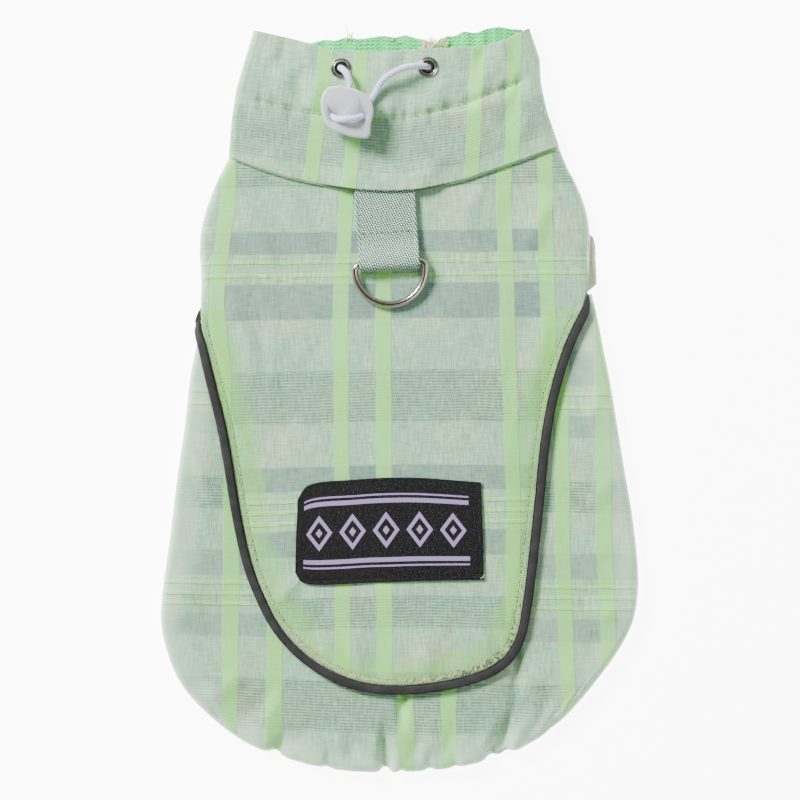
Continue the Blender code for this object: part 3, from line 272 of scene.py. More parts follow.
def run_along(points):
    """Length of the way from the first point to each one."""
    return np.concatenate(((0.0,), np.cumsum(np.linalg.norm(np.diff(points, axis=0), axis=1))))


def round_turn(share, sides):
    """Angle round a tube at shares of its turn, the same at its seam's two sides."""
    return 2.0 * math.pi * (np.rint(share * sides).astype(int) % sides) / sides


def rounded(wave, power):
    """A wave made squarer by a power under 1."""
    return np.sign(wave) * np.abs(wave) ** power


BACK_CURVE = smooth_curve(BACK_EDGE, 361)


def edge_distance(curve, x, y):
    """Distance in from an edge that runs round a piece, negative outside, and how far along it that is."""
    start = curve[:-1]
    step = curve[1:] - start
    lengths = np.linalg.norm(step, axis=1)
    run = np.concatenate(((0.0,), np.cumsum(lengths)))
    distances, places = [], []
    points = np.stack((np.ravel(x), np.ravel(y)), axis=1)
    for block in np.array_split(points, max(1, len(points) // 4000)):
        point = block[:, None, :]
        share = np.clip(((point - start) * step).sum(2) / lengths**2, 0.0, 1.0)
        away = point - start - share[..., None] * step
        distance = np.hypot(away[..., 0], away[..., 1])
        nearest = distance.argmin(axis=1)
        rows = np.arange(len(nearest))
        turn = step[nearest, 0] * away[rows, nearest, 1] - step[nearest, 1] * away[rows, nearest, 0]
        distances.append(np.where(turn >= 0.0, 1.0, -1.0) * distance[rows, nearest])
        places.append(run[nearest] + share[rows, nearest] * lengths[nearest])
    return np.concatenate(distances).reshape(np.shape(x)), np.concatenate(places).reshape(np.shape(x))


FIELD_STEP = 1.0
FIELD_X = np.arange(-106.0, 107.0, FIELD_STEP)
FIELD_Y = np.arange(-162.0, 163.0, FIELD_STEP)


def read_field(field, x, y):
    """Read a field of values on the plan grid at any place."""
    across = np.clip((np.asarray(x, float) - FIELD_X[0]) / FIELD_STEP, 0.0, len(FIELD_X) - 1.001)
    up = np.clip((np.asarray(y, float) - FIELD_Y[0]) / FIELD_STEP, 0.0, len(FIELD_Y) - 1.001)
    i, j = across.astype(int), up.astype(int)
    a, b = across - i, up - j
    low = field[j, i] * (1 - a) + field[j, i + 1] * a
    high = field[j + 1, i] * (1 - a) + field[j + 1, i + 1] * a
    return low * (1 - b) + high * b


BACK_FIELD = edge_distance(BACK_CURVE, *np.meshgrid(FIELD_X, FIELD_Y))[0]


def inset(x, y):
    """Distance in from the back panel's edge, negative outside it."""
    return read_field(BACK_FIELD, x, y)


def creases(table, x, y, sway=0.12, fade=0.7, start=0.5):
    """Height that a table of soft creases adds; fade and start are shares of a crease's run."""
    total = np.zeros(np.shape(x))
    for from_x, from_y, to_x, to_y, half_width, height in table:
        run_x, run_y = to_x - from_x, to_y - from_y
        length = math.hypot(run_x, run_y)
        share = ((x - from_x) * run_x + (y - from_y) * run_y) / length**2
        across = ((x - from_x) * run_y - (y - from_y) * run_x) / length
        across = across + sway * length * np.sin(2.2 * share + from_x)
        ends = eased((1.0 - share) / fade) * eased((share + start) / start)
        total = total + height * ends * np.exp(-(across / half_width) ** 2)
    return total


def body_folds(x, y):
    """Height that the soft folds add at a plan position."""
    return creases(BODY_FOLDS, x, y, 0.0, 0.75, 0.6)


def back_height(x, y, depth):
    """Height of the back panel's outer face, inside its side folds."""
    crown = 2.0 * column(LIE, y, 1)
    rest = column(LIE, y, 2)
    beyond = np.maximum(depth - crown / 2.0, 0.0)
    return rest + (crown - rest) * np.exp(-(beyond / FOLD_SPREAD) ** 2) + body_folds(x, y)


def over_back(x, y, lift):
    """Height of a surface that lies a given lift above the back panel, folds included."""
    depth = inset(x, y)
    radius = column(LIE, y, 1)
    past_crown = np.maximum(radius - depth, 0.0)
    round_the_fold = radius + np.sqrt(np.maximum((radius + lift) ** 2 - past_crown**2, 0.0))
    folds = body_folds(x, y) * eased(depth / radius)
    return np.where(depth >= radius, back_height(x, y, depth) + lift, round_the_fold + folds)


def coons(u, v, left, right, bottom, top):
    """Fill four sampled edges: left and right run upwards, bottom and top to the right."""
    u = u[:, None]
    v = v[:, None]
    sides = (1 - u) * along(left, v[:, 0]) + u * along(right, v[:, 0])
    ends = (1 - v) * along(bottom, u[:, 0]) + v * along(top, u[:, 0])
    corners = ((1 - u) * (1 - v) * bottom[0] + u * (1 - v) * bottom[-1]
               + (1 - u) * v * top[0] + u * v * top[-1])
    return sides + ends - corners


def spread(stops, share):
    """Move evenly spaced shares so that they are dense where the stops are."""
    return np.interp(share, np.linspace(0.0, 1.0, len(stops)), stops)


def seam_line(count, shift):
    """The neck seam, moved up by a shift that fades out at the collar's sides."""
    share = np.linspace(0.0, 1.0, count)
    left_x, right_x = column(COLLAR_SIDES, 1.0, 1), column(COLLAR_SIDES, 1.0, 2)
    x = left_x + (right_x - left_x) * share
    y = column(COLLAR_SEAM, share)
    inward = np.minimum(x - left_x, right_x - x)
    return np.stack((x, y + shift * eased(inward / NECK_TUCK_FADE)), axis=1)


def tucked_edge(left_end, right_end, gap):
    """The top edge of a body piece: the neck seam, tucked in under the collar, between two ends."""
    neck = seam_line(181, NECK_TUCK)
    span = (neck[:, 0] - neck[0, 0]) / (neck[-1, 0] - neck[0, 0])
    x = left_end[0] + span * (right_end[0] - left_end[0])
    y = neck[:, 1] - gap
    y += (left_end[1] - y[0]) * (1.0 - eased(span / 0.1))
    y += (right_end[1] - y[-1]) * eased((span - 0.9) / 0.1)
    return np.stack((x, y), axis=1)


def collar_front(x, y):
    """Height of the collar's outer face over the back, away from its side folds."""
    seam = seam_line(121, 0.0)
    above = y - np.interp(x, seam[:, 0], seam[:, 1])
    near_seam = over_back(x, np.minimum(y, LIE[-1][0]), 2.0 * LAYER)
    bar_x, bar_y = WEBBING_BAR
    middle = bar_x - math.sin(WEBBING_TURN) * (y - bar_y)
    sideways = 1.0 - eased((np.abs(x - middle) - WEBBING_BUMP_HALF) / WEBBING_BUMP_FADE)
    bump = WEBBING_BUMP * sideways * (1.0 - eased((above - 4.0) / 9.0))
    away = eased((above - 3.5) / 8.0)
    share = (x - seam[0, 0]) / (seam[-1, 0] - seam[0, 0])
    from_stitch = above - CASING_SEAM_UP - CASING_SEAM_RISE * share
    casing = CASING_SEAM_DEPTH * np.exp(-(from_stitch / CASING_SEAM_WIDTH) ** 2)
    wave = np.cos(2.0 * math.pi * (COLLAR_PUCKERS * share + 0.35 * np.sin(9.0 * share)))
    puckers = PUCKER_HEIGHT * wave * np.exp(-(from_stitch / PUCKER_REACH) ** 2)
    open_height = CASING_HEIGHT - casing + puckers
    for eye_x, eye_y in EYELETS.values():
        flat = 1.0 - eased((np.hypot(x - eye_x, y - eye_y) - EYELET_FLAT) / EYELET_FLAT_FADE)
        open_height = open_height * (1.0 - flat) + CASING_HEIGHT * flat
    return near_seam * (1.0 - away) + open_height * away + bump


# ---------------------------------------------------------------- finer creases
# Creases of the visible cloth, on top of the solids' own folds, with the same columns
# as BODY_FOLDS: x and y at the strong end, x and y at the fading end, half width, height.
CAPE_CREASES = (
    (-47.0, 88.0, -26.0, 58.0, 3.6, 1.23), (-56.0, 84.0, -38.0, 54.0, 4.4, -0.62),
    (-62.0, 70.0, -50.0, 44.0, 4.0, 0.95), (-68.0, 30.0, -56.0, -2.0, 4.2, 1.32),
    (-62.0, 34.0, -49.0, 2.0, 4.6, -0.68), (-54.0, 20.0, -46.0, -14.0, 3.6, 0.87),
    (36.0, 88.0, 24.0, 62.0, 4.0, 1.02), (46.0, 84.0, 37.0, 58.0, 4.6, -0.54),
    (60.0, 76.0, 52.0, 50.0, 4.2, 1.09), (57.0, 20.0, 45.0, -12.0, 4.4, 0.95),
    (50.0, 26.0, 38.0, 0.0, 5.0, -0.50), (20.0, 36.0, 30.0, 12.0, 6.0, 0.73),
    (-30.0, 34.0, -36.0, 6.0, 6.0, -0.45), (-49.0, -86.0, -36.0, -68.0, 3.4, 1.32),
    (-40.0, -98.0, -30.0, -80.0, 3.6, -0.72), (-20.0, -112.0, -16.0, -90.0, 3.8, 1.17),
    (-6.0, -114.0, -8.0, -94.0, 3.2, -0.54), (10.0, -114.0, 6.0, -92.0, 4.0, 1.09),
    (26.0, -110.0, 19.0, -90.0, 3.6, -0.68), (36.0, -106.0, 28.0, -86.0, 3.4, 1.23),
    (44.0, -92.0, 34.0, -78.0, 3.6, 0.95), (-2.0, -76.0, 2.0, -92.0, 6.5, 0.81),
)
BACK_CREASES = (
    (-88.0, -20.0, -78.0, -52.0, 3.6, 1.18), (-92.0, -44.0, -80.0, -66.0, 3.8, -0.88),
    (-90.0, -72.0, -70.0, -84.0, 4.2, 1.12), (-86.0, -96.0, -66.0, -100.0, 4.0, -0.94),
    (-84.0, -4.0, -78.0, -30.0, 3.4, -0.73), (-78.0, -120.0, -60.0, -104.0, 4.0, 1.18),
    (-66.0, -132.0, -52.0, -112.0, 3.8, -1.04), (-56.0, -138.0, -44.0, -118.0, 3.2, 0.95),
    (-42.0, -146.0, -36.0, -126.0, 3.0, -0.94), (-26.0, -150.0, -22.0, -128.0, 3.4, 1.06),
    (-19.0, -150.0, -18.0, -132.0, 2.6, -0.88), (8.0, -152.0, 8.0, -130.0, 2.8, -1.04),
    (14.0, -152.0, 13.0, -126.0, 3.2, 1.12), (21.0, -150.0, 20.0, -128.0, 3.0, -0.94),
    (34.0, -146.0, 36.0, -126.0, 2.6, 0.84), (56.0, -138.0, 56.0, -116.0, 3.6, 1.12),
    (64.0, -132.0, 60.0, -108.0, 3.6, -0.99), (74.0, -122.0, 66.0, -100.0, 3.8, 1.12),
    (86.0, -106.0, 70.0, -94.0, 4.0, -0.94), (94.0, -88.0, 74.0, -82.0, 4.2, 1.12),
    (95.0, -62.0, 76.0, -66.0, 4.2, -0.78), (91.0, -30.0, 78.0, -48.0, 3.8, 0.95),
    (86.0, 2.0, 74.0, -18.0, 3.8, 0.84),
)
HEM_FOLDS = (
    (-5.6, -156.0, -6.3, -127.0, 1.9, -3.0), (-10.4, -156.0, -10.0, -130.0, 2.6, 0.7),
    (-1.6, -156.0, -1.8, -126.0, 2.2, 0.9), (1.0, -121.0, 0.6, -138.0, 2.1, -2.4),
    (47.4, -102.0, 47.9, -132.0, 2.0, -2.0), (41.6, -147.0, 47.8, -120.0, 2.0, -2.2),
    (36.4, -150.0, 39.5, -138.0, 1.8, -1.6), (44.4, -148.0, 49.6, -128.0, 2.4, 0.7),
    (-51.2, -150.0, -46.0, -133.0, 1.8, -1.6), (-56.0, -146.0, -49.5, -126.0, 2.4, 0.6),
    (23.0, -154.0, 22.0, -140.0, 1.6, -1.2), (12.4, -155.0, 11.8, -142.0, 1.5, -1.1),
    (-30.0, -154.0, -29.0, -141.0, 1.7, -1.2),
)
COLLAR_CREASES = (
    (-58.0, 118.0, -40.0, 104.0, 4.0, 1.14), (-62.0, 108.0, -46.0, 98.0, 3.6, -0.91),
    (-50.0, 132.0, -44.0, 122.0, 3.0, 0.98), (-40.0, 130.0, -37.0, 118.0, 2.6, -0.85),
    (-34.0, 126.0, -33.0, 112.0, 3.0, 0.92), (-8.0, 118.0, -12.0, 100.0, 4.0, 0.81),
    (4.0, 124.0, 2.0, 106.0, 3.4, -0.76), (16.0, 126.0, 13.0, 108.0, 3.2, 0.98),
    (26.0, 128.0, 24.0, 112.0, 2.8, -0.85), (36.0, 130.0, 33.0, 112.0, 3.4, 1.08),
    (46.0, 128.0, 44.0, 108.0, 3.4, -0.85), (56.0, 116.0, 40.0, 100.0, 4.4, 0.98),
    (-57.0, 146.0, -52.0, 136.0, 2.8, 1.08), (-47.0, 145.0, -45.0, 135.0, 2.4, -0.91),
    (-38.0, 143.0, -37.0, 134.0, 2.4, 0.92), (-5.0, 142.0, -6.0, 132.0, 2.6, 0.81),
    (3.0, 142.0, 2.0, 132.0, 2.4, -0.66), (24.0, 144.0, 23.0, 133.0, 2.6, 0.92),
    (33.0, 145.0, 32.0, 134.0, 2.4, -0.85), (43.0, 147.0, 42.0, 136.0, 2.6, 0.98),
)
UNDER_CREASES = (
    (-50.0, 70.0, -30.0, 40.0, 5.0, 0.40), (-20.0, 78.0, -24.0, 48.0, 4.0, 0.30),
    (18.0, 76.0, 26.0, 44.0, 4.4, 0.36), (52.0, 66.0, 34.0, 40.0, 4.6, 0.40),
    (-60.0, 10.0, -40.0, -20.0, 5.0, 0.34), (58.0, 4.0, 42.0, -26.0, 4.6, 0.36),
    (-30.0, -70.0, -34.0, -40.0, 4.4, 0.38), (6.0, -76.0, 2.0, -44.0, 5.0, 0.30),
    (36.0, -70.0, 30.0, -42.0, 4.2, 0.36),
)
# Notches in the hem's outline: x, half width and depth.
HEM_NOTCHES = (
    (-51.0, 2.6, 1.5), (-30.0, 2.2, 0.7), (-6.0, 2.0, 1.4), (0.8, 1.6, 0.8), (12.4, 2.0, 0.9),
    (23.0, 2.0, 0.6), (37.2, 2.6, 1.8), (44.6, 2.2, 1.2), (62.0, 3.0, 0.6),
)
NOTCH_REACH = 8.0
HEM_NOTCHED_BELOW = -110.0


# ---------------------------------------------------------------- cloth surfaces
def cape_curve():
    """The cape's edge from the neck down the left side, round its free edge and up the right side."""
    piping = smooth_curve(PIPING_LINE, 241)
    free_edge = piping + left_of(piping) * (PIPING_WIDTH / 2.0 + SEAM_GAP)
    left = smooth_curve(CAPE_LEFT, 41)
    right = smooth_curve(CAPE_RIGHT, 41)[::-1]
    return smooth_curve(np.vstack((left[:-1:4], free_edge[3:-3:6], right[4::4])), 481)


CAPE_CURVE = cape_curve()
TOPSTITCH_IN = 2.5          # from the cape's edge in to its topstitching
TOPSTITCH_SINK = 0.3
TOPSTITCH_WIDTH = 0.8
TOPSTITCH_ENDS = 40.0        # y above which the sunk line isn't sewn


def cape_height(x, y, lift=0.0):
    """Height of the visible cape's outer face."""
    x, y = np.asarray(x, float), np.asarray(y, float)
    depth = edge_distance(CAPE_CURVE, x, y)[0]
    fine = creases(CAPE_CREASES, x, y) * eased((depth - 1.0) / 9.0)
    sunk = TOPSTITCH_SINK * np.exp(-((depth - TOPSTITCH_IN) / TOPSTITCH_WIDTH) ** 2)
    fine = fine - sunk * (y < TOPSTITCH_ENDS)
    seam = seam_line(121, 0.0)
    below_seam = np.interp(x, seam[:, 0], seam[:, 1]) - y
    return over_back(x, y, LAYER + lift) + fine * eased((below_seam - 1.0) / 8.0)


def back_fine(x, y, depth):
    """Height that the fine creases add to the visible back panel."""
    folds = creases(HEM_FOLDS, x, y, 0.0) * eased(depth / 4.0)
    return creases(BACK_CREASES, x, y) * eased((depth - 2.0) / 9.0) + folds


def corner_shares(edge, low, corners):
    """Shares of an edge at its two lower corners, found by their x below a height."""
    places = np.linspace(0.0, 1.0, len(edge))
    below = edge[:, 1] < low
    return [places[below][np.argmin(np.abs(edge[below, 0] - corner))] for corner in corners]


HEM_CORNERS = (-80.0, 78.0)
ARMHOLE_BOTTOM = 43.0
ARMHOLE_TOP = 73.0
HEM_START, HEM_END = corner_shares(BACK_CURVE, -90.0, HEM_CORNERS)


def gather(share):
    """Height of the hem's gathers at a share of the back panel's edge."""
    hem = (share - HEM_START) / (HEM_END - HEM_START)
    fade = eased((hem + 0.08) / 0.16) * eased((1.08 - hem) / 0.16)
    uneven = 0.7 + 0.3 * np.cos(2.0 * math.pi * 2.3 * hem + 1.0)
    return GATHER_HEIGHT * fade * uneven * np.cos(2.0 * math.pi * GATHERS * hem + 1.1 * np.sin(7.0 * hem))


def turned_under(y):
    """Width turned under at a height on the back panel's edge."""
    side = HEM_TURN + (SIDE_TURN - HEM_TURN) * eased((y + 128.0) / 40.0)
    return np.where(y > ARMHOLE_TOP - 5.0, SHOULDER_TURN, side)


# ---------------------------------------------------------------- where the check falls
# Rows: y, then x of the middles of the satin stripes there, left to right; and
# the place of those stripes across the flat cloth.
STRIPE_PITCH = 68.9         # from one pair of satin stripes to the next
STRIPE_OFF = 8.7            # from the middle of a pair to its stripes
CAPE_STRIPES = (
    (-110.0, -78.0, -23.0, -6.2, 47.0, 60.0), (-40.0, -74.6, -23.4, -6.4, 46.9, 61.4),
    (-5.0, -71.4, -24.1, -6.4, 45.5, 61.2), (15.2, -71.9, -24.0, -6.5, 44.8, 61.1),
    (25.8, -73.6, -24.1, -6.6, 44.5, 61.0), (36.9, -74.9, -24.1, -6.8, 44.3, 60.7),
    (47.9, -74.0, -23.7, -6.6, 43.8, 60.2), (57.4, -73.2, -23.0, -6.4, 43.6, 60.0),
    (68.5, -71.5, -22.3, -6.4, 43.3, 59.7), (79.1, -69.8, -21.6, -6.4, 43.0, 59.5),
    (89.0, -69.5, -21.4, -6.4, 42.8, 59.7), (98.4, -70.2, -21.4, -6.4, 42.4, 59.2),
)
CAPE_STRIPE_PLACES = (-60.2, -8.7, 8.7, 60.2, 77.6)
BACK_STRIPES = (
    (-150.0, -70.0, -51.6, 3.1, 20.7, 69.9, 87.9), (-60.0, -68.7, -50.2, 0.6, 18.7, 66.6, 83.6),
    (40.0, -68.0, -50.0, 0.0, 18.0, 66.0, 83.0),
)
BACK_STRIPE_PLACES = (-77.6, -60.2, -8.7, 8.7, 60.2, 77.6)
COLLAR_STRIPES = (
    (85.0, -36.7, -20.9, 28.9, 45.7), (117.0, -32.8, -17.9, 30.9, 46.3),
    (150.0, -28.5, -15.0, 33.0, 46.9),
)
COLLAR_STRIPE_PLACES = (-8.7, 8.7, 60.2, 77.6)
# Rows: x, then y of chosen lines of the cross bands there, top to bottom; and the
# place of those lines along the flat cloth.
BAND_REPEAT = 180.0
CAPE_BANDS = (
    (-80.0, 53.0, -52.0), (0.0, 54.0, -49.0), (80.0, 55.0, -50.0),
)
CAPE_BAND_PLACES = (0.0, 102.7)
BACK_BANDS = (
    (-90.0, 1.4, -37.1, -78.7, -122.4), (0.0, 0.0, -39.0, -80.5, -126.0),
    (90.0, -0.4, -39.6, -81.1, -127.3),
)
BACK_BAND_PLACES = (180.0, 140.15, 98.2, 52.05)
COLLAR_BANDS = (
    (-67.0, 150.0, 120.8, 100.8), (-48.0, 150.0, 119.5, 97.8), (-32.0, 150.0, 115.5, 95.2),
    (-2.0, 150.0, 114.5, 91.8), (25.0, 150.0, 117.5, 95.8), (49.0, 150.0, 122.5, 104.3),
    (62.0, 150.0, 125.0, 108.4),
)
COLLAR_BAND_PLACES = (20.9, 41.4, 62.7)


def guided(table, places, along_guides, across_guides):
    """Place in the flat cloth, read between guide lines and straight on past the outer ones."""
    lines = [column(table, along_guides, index + 1) for index in range(len(places))]
    rising = 1.0 if lines[-1].mean() > lines[0].mean() else -1.0
    slope = rising * (1.0 if places[-1] > places[0] else -1.0)
    place = places[0] + slope * rising * np.minimum(rising * (across_guides - lines[0]), 0.0)
    for start, end, low, high in zip(lines, lines[1:], places, places[1:]):
        place = place + (high - low) * np.clip((across_guides - start) / (end - start), 0.0, 1.0)
    return place + slope * rising * np.maximum(rising * (across_guides - lines[-1]), 0.0)


# ---------------------------------------------------------------- mesh helpers
def placed_grid(columns, rows, place):
    """A grid whose points are placed from their shares of its columns and rows."""
    mesh = bmesh.new()
    bmesh.ops.create_grid(mesh, x_segments=columns, y_segments=rows, size=0.5)
    points = np.array([vertex.co[:2] for vertex in mesh.verts]) + 0.5
    points = np.round(points, 6)
    for vertex, spot in zip(mesh.verts, place(points[:, 0], points[:, 1])):
        vertex.co = spot
    return mesh, points


def placed_tube(steps, sides, place, closed=False):
    """A tube made from a rolled-up grid: place gives points from shares along and round it."""
    mesh, _ = placed_grid(steps, sides, place)
    bmesh.ops.remove_doubles(mesh, verts=mesh.verts, dist=1e-5)
    if not closed:
        ends = [side for side in mesh.edges if len(side.link_faces) == 1]
        bmesh.ops.holes_fill(mesh, edges=ends, sides=0)
    bmesh.ops.recalc_face_normals(mesh, faces=mesh.faces)
    return mesh


def write_uv(data, name, values):
    """Store a pair of numbers for each vertex as a UV map."""
    layer = data.uv_layers.new(name=name)
    index = np.empty(len(data.loops), np.int32)
    data.loops.foreach_get("vertex_index", index)
    layer.data.foreach_set("uv", np.asarray(values, np.float32)[index].ravel())


def new_object(name, mesh, finish, uvs=None, wall=0.0, offset=-1.0, soft_rim=0.0, even=True):
    """Turn a bmesh in millimetres into an object in metres, with its maps and its wall."""
    bmesh.ops.scale(mesh, vec=(MM, MM, MM), verts=mesh.verts)
    data = bpy.data.meshes.new(name)
    mesh.to_mesh(data)
    mesh.free()
    data.materials.append(finish)
    data.shade_smooth()
    for key, values in (uvs or {}).items():
        write_uv(data, key, values)
    thing = bpy.data.objects.new(name, data)
    bpy.context.scene.collection.objects.link(thing)
    if wall:
        thicken = thing.modifiers.new("Wall", "SOLIDIFY")
        thicken.thickness = wall * MM
        thicken.offset = offset
        thicken.use_even_offset = even
    if soft_rim:
        soften = thing.modifiers.new("Soft rim", "BEVEL")
        soften.width = soft_rim * MM
        soften.segments = 2
        soften.limit_method = "ANGLE"
        soften.angle_limit = math.radians(60.0)
    return thing


def dress(piece, node, body="garment"):
    """Let a finished piece move with a body and stand in for its solid."""
    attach(piece, body)
    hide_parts(node)


def plan_of(mesh):
    """The points of a bmesh as an array in millimetres."""
    return np.array([vertex.co[:] for vertex in mesh.verts])


def sew(name, runs, radius, finish):
    """Short threads as one curve object on the garment: runs are arrays of points in millimetres."""
    data = bpy.data.curves.new(name, "CURVE")
    data.dimensions = "3D"
    data.bevel_depth = radius * MM
    data.bevel_resolution = 1
    data.use_fill_caps = True
    for run in runs:
        line = data.splines.new("POLY")
        line.points.add(len(run) - 1)
        for index, (place, point) in enumerate(zip(line.points, run)):
            place.co = (*(Vector(point) * MM), 1.0)
            if index in (0, len(run) - 1):
                place.radius = 0.55
        line.use_smooth = True
    data.materials.append(finish)
    thing = bpy.data.objects.new(name, data)
    bpy.context.scene.collection.objects.link(thing)
    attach(thing, "garment")


def stitches(line, pitch, length, height, sink):
    """Stitch runs along a plan line: each is a few points that arch over the cloth."""
    steps = run_along(line)
    arch = sink * np.array((-1.0, 0.45, 1.0, 0.45, -1.0))
    runs = []
    place = 0.0
    while place + length < steps[-1]:
        at = place + np.linspace(0.0, length, 5)
        x, y = np.interp(at, steps, line[:, 0]), np.interp(at, steps, line[:, 1])
        runs.append(np.column_stack((x, y, height(x, y) + arch)))
        place += pitch
    return runs


# ---------------------------------------------------------------- shader helpers
class Nodes:
    """Adds shader nodes to a tree and joins them up."""

    def __init__(self, tree):
        self.tree = tree

    def put(self, socket, value):
        """Link an output to a socket, or set the socket's value."""
        if isinstance(value, bpy.types.NodeSocket):
            self.tree.links.new(value, socket)
        elif hasattr(socket.default_value, "__len__") and hasattr(value, "__len__"):
            filled = tuple(value) + (1.0,) * (len(socket.default_value) - len(value))
            socket.default_value = filled
        else:
            socket.default_value = value

    def add(self, kind, inputs=None, **settings):
        """A node with its settings and inputs."""
        node = self.tree.nodes.new(kind)
        for key, value in settings.items():
            setattr(node, key, value)
        for key, value in (inputs or {}).items():
            self.put(node.inputs[key], value)
        return node

    def math(self, operation, *values):
        """A Math node's output."""
        return self.add("ShaderNodeMath", dict(enumerate(values)), operation=operation).outputs[0]

    def times(self, *values):
        """The product of several values."""
        result = values[0]
        for value in values[1:]:
            result = self.math("MULTIPLY", result, value)
        return result

    def plus(self, *values):
        """The sum of several values."""
        result = values[0]
        for value in values[1:]:
            result = self.math("ADD", result, value)
        return result

    def minus(self, first, second):
        """The difference of two values."""
        return self.math("SUBTRACT", first, second)

    def size(self, value):
        """A value without its sign."""
        return self.math("ABSOLUTE", value)

    def shaded(self, colour, tone):
        """A colour times a tone that lies round 1."""
        return self.mix(1.0, colour, self.join(tone, tone, tone), "MULTIPLY")

    def rise(self, value, low, high):
        """0 below low, 1 above high, smooth between."""
        sockets = {"Value": value, "From Min": low, "From Max": high}
        return self.add("ShaderNodeMapRange", sockets, interpolation_type="SMOOTHSTEP").outputs[0]

    def inside(self, value, low, high, soft):
        """1 between low and high, with soft ends."""
        up = self.rise(value, low - soft, low + soft)
        down = self.rise(value, high - soft, high + soft)
        return self.minus(up, down)

    def near(self, value, middle, half, soft):
        """1 within a half width of a middle, with soft ends."""
        away = self.size(self.minus(value, middle))
        return self.minus(1.0, self.rise(away, half - soft, half + soft))

    def wave(self, value, pitch, shift=0.0):
        """A sine of the given pitch, from 0 to 1."""
        turn = self.plus(self.times(value, 2.0 * math.pi / pitch), shift)
        return self.plus(self.times(self.math("SINE", turn), 0.5), 0.5)

    def mix(self, share, first, second, blend="MIX"):
        """A colour mix."""
        node = self.add("ShaderNodeMix", data_type="RGBA", blend_type=blend)
        for socket, value in zip((node.inputs[0], node.inputs[6], node.inputs[7]), (share, first, second)):
            self.put(socket, value)
        return node.outputs[2]

    def noise(self, vector, scale, detail=2.0, rough=0.5):
        """A noise texture's value."""
        sockets = {"Vector": vector, "Scale": scale, "Detail": detail, "Roughness": rough}
        return self.add("ShaderNodeTexNoise", sockets).outputs["Fac"]

    def split(self, vector):
        """The parts of a vector."""
        return self.add("ShaderNodeSeparateXYZ", {0: vector}).outputs

    def join(self, x=0.0, y=0.0, z=0.0):
        """A vector from its parts."""
        return self.add("ShaderNodeCombineXYZ", {0: x, 1: y, 2: z}).outputs[0]

    def stretch(self, vector, scale=(1.0, 1.0, 1.0), turn=0.0, move=(0.0, 0.0, 0.0)):
        """A vector scaled, turned about z and moved."""
        sockets = {"Vector": vector, "Scale": scale, "Rotation": (0.0, 0.0, turn), "Location": move}
        return self.add("ShaderNodeMapping", sockets).outputs[0]

    def uv(self, name):
        """A UV map of the piece, in millimetres."""
        where = self.add("ShaderNodeUVMap", uv_map=name).outputs[0]
        return self.stretch(where, (1000.0, 1000.0, 1000.0))

    def place(self):
        """The piece's own place, in millimetres."""
        where = self.add("ShaderNodeTexCoord").outputs["Object"]
        return self.stretch(where, (1000.0, 1000.0, 1000.0))

    def group(self, tree, inputs):
        """A node group in use."""
        node = self.add("ShaderNodeGroup", node_tree=tree)
        for key, value in inputs.items():
            self.put(node.inputs[key], value)
        return node.outputs

    def bump(self, height, strength, distance):
        """A bump's normal: distance is the height of 1, in millimetres."""
        sockets = {"Height": height, "Strength": strength, "Distance": distance * MM}
        return self.add("ShaderNodeBump", sockets).outputs[0]


def new_group(name, inputs, outputs):
    """An empty node group: returns its tree, its helper, its input sockets and its output node."""
    tree = bpy.data.node_groups.new(name, "ShaderNodeTree")
    kinds = {"colour": "NodeSocketColor", "value": "NodeSocketFloat", "vector": "NodeSocketVector"}
    for key, kind in inputs.items():
        tree.interface.new_socket(name=key, in_out="INPUT", socket_type=kinds[kind])
    for key, kind in outputs.items():
        tree.interface.new_socket(name=key, in_out="OUTPUT", socket_type=kinds[kind])
    nodes = Nodes(tree)
    return tree, nodes, nodes.add("NodeGroupInput").outputs, nodes.add("NodeGroupOutput")


def new_material(name, roughness, metallic=0.0, **sockets):
    """A material with one Principled shader: returns it, its helper and the shader."""
    finish = bpy.data.materials.new(name)
    finish.use_nodes = True
    shader = finish.node_tree.nodes["Principled BSDF"]
    shader.inputs["Roughness"].default_value = roughness
    shader.inputs["Metallic"].default_value = metallic
    for key, value in sockets.items():
        nodes_key = key.replace("_", " ")
        Nodes(finish.node_tree).put(shader.inputs[nodes_key], value)
    return finish, Nodes(finish.node_tree), shader


# ---------------------------------------------------------------- shared effects
def weave_group():
    """Plain weave of threads with uneven thickness: height and a tone round 1."""
    tree, n, given, result = new_group(
        "plain weave",
        {"Vector": "vector", "Pitch": "value", "Unevenness": "value"},
        {"Height": "value", "Tone": "value"})
    x, y, _ = n.split(given["Vector"])
    drift = n.noise(n.stretch(given["Vector"], (0.35, 0.35, 1.0)), 1.0, 3.0)
    warp_slub = n.noise(n.stretch(given["Vector"], (1.6, 0.14, 1.0)), 1.0, 2.0)
    weft_slub = n.noise(n.stretch(given["Vector"], (0.16, 1.7, 1.0)), 1.0, 2.0)
    turn = n.math("DIVIDE", 2.0 * math.pi, given["Pitch"])
    warp = n.math("SINE", n.plus(n.times(x, turn), n.times(drift, 2.0)))
    weft = n.math("SINE", n.plus(n.times(y, turn), n.times(drift, 2.0)))
    over = n.times(warp, weft)
    height = n.plus(n.times(over, 0.5), n.times(warp, 0.25), n.times(weft, 0.25))
    uneven = n.minus(n.plus(warp_slub, weft_slub), 1.0)
    spread_tone = n.times(uneven, given["Unevenness"])
    n.put(result.inputs["Height"], n.plus(height, n.times(uneven, 1.2)))
    n.put(result.inputs["Tone"], n.plus(1.0, spread_tone, n.times(over, 0.10)))
    return tree


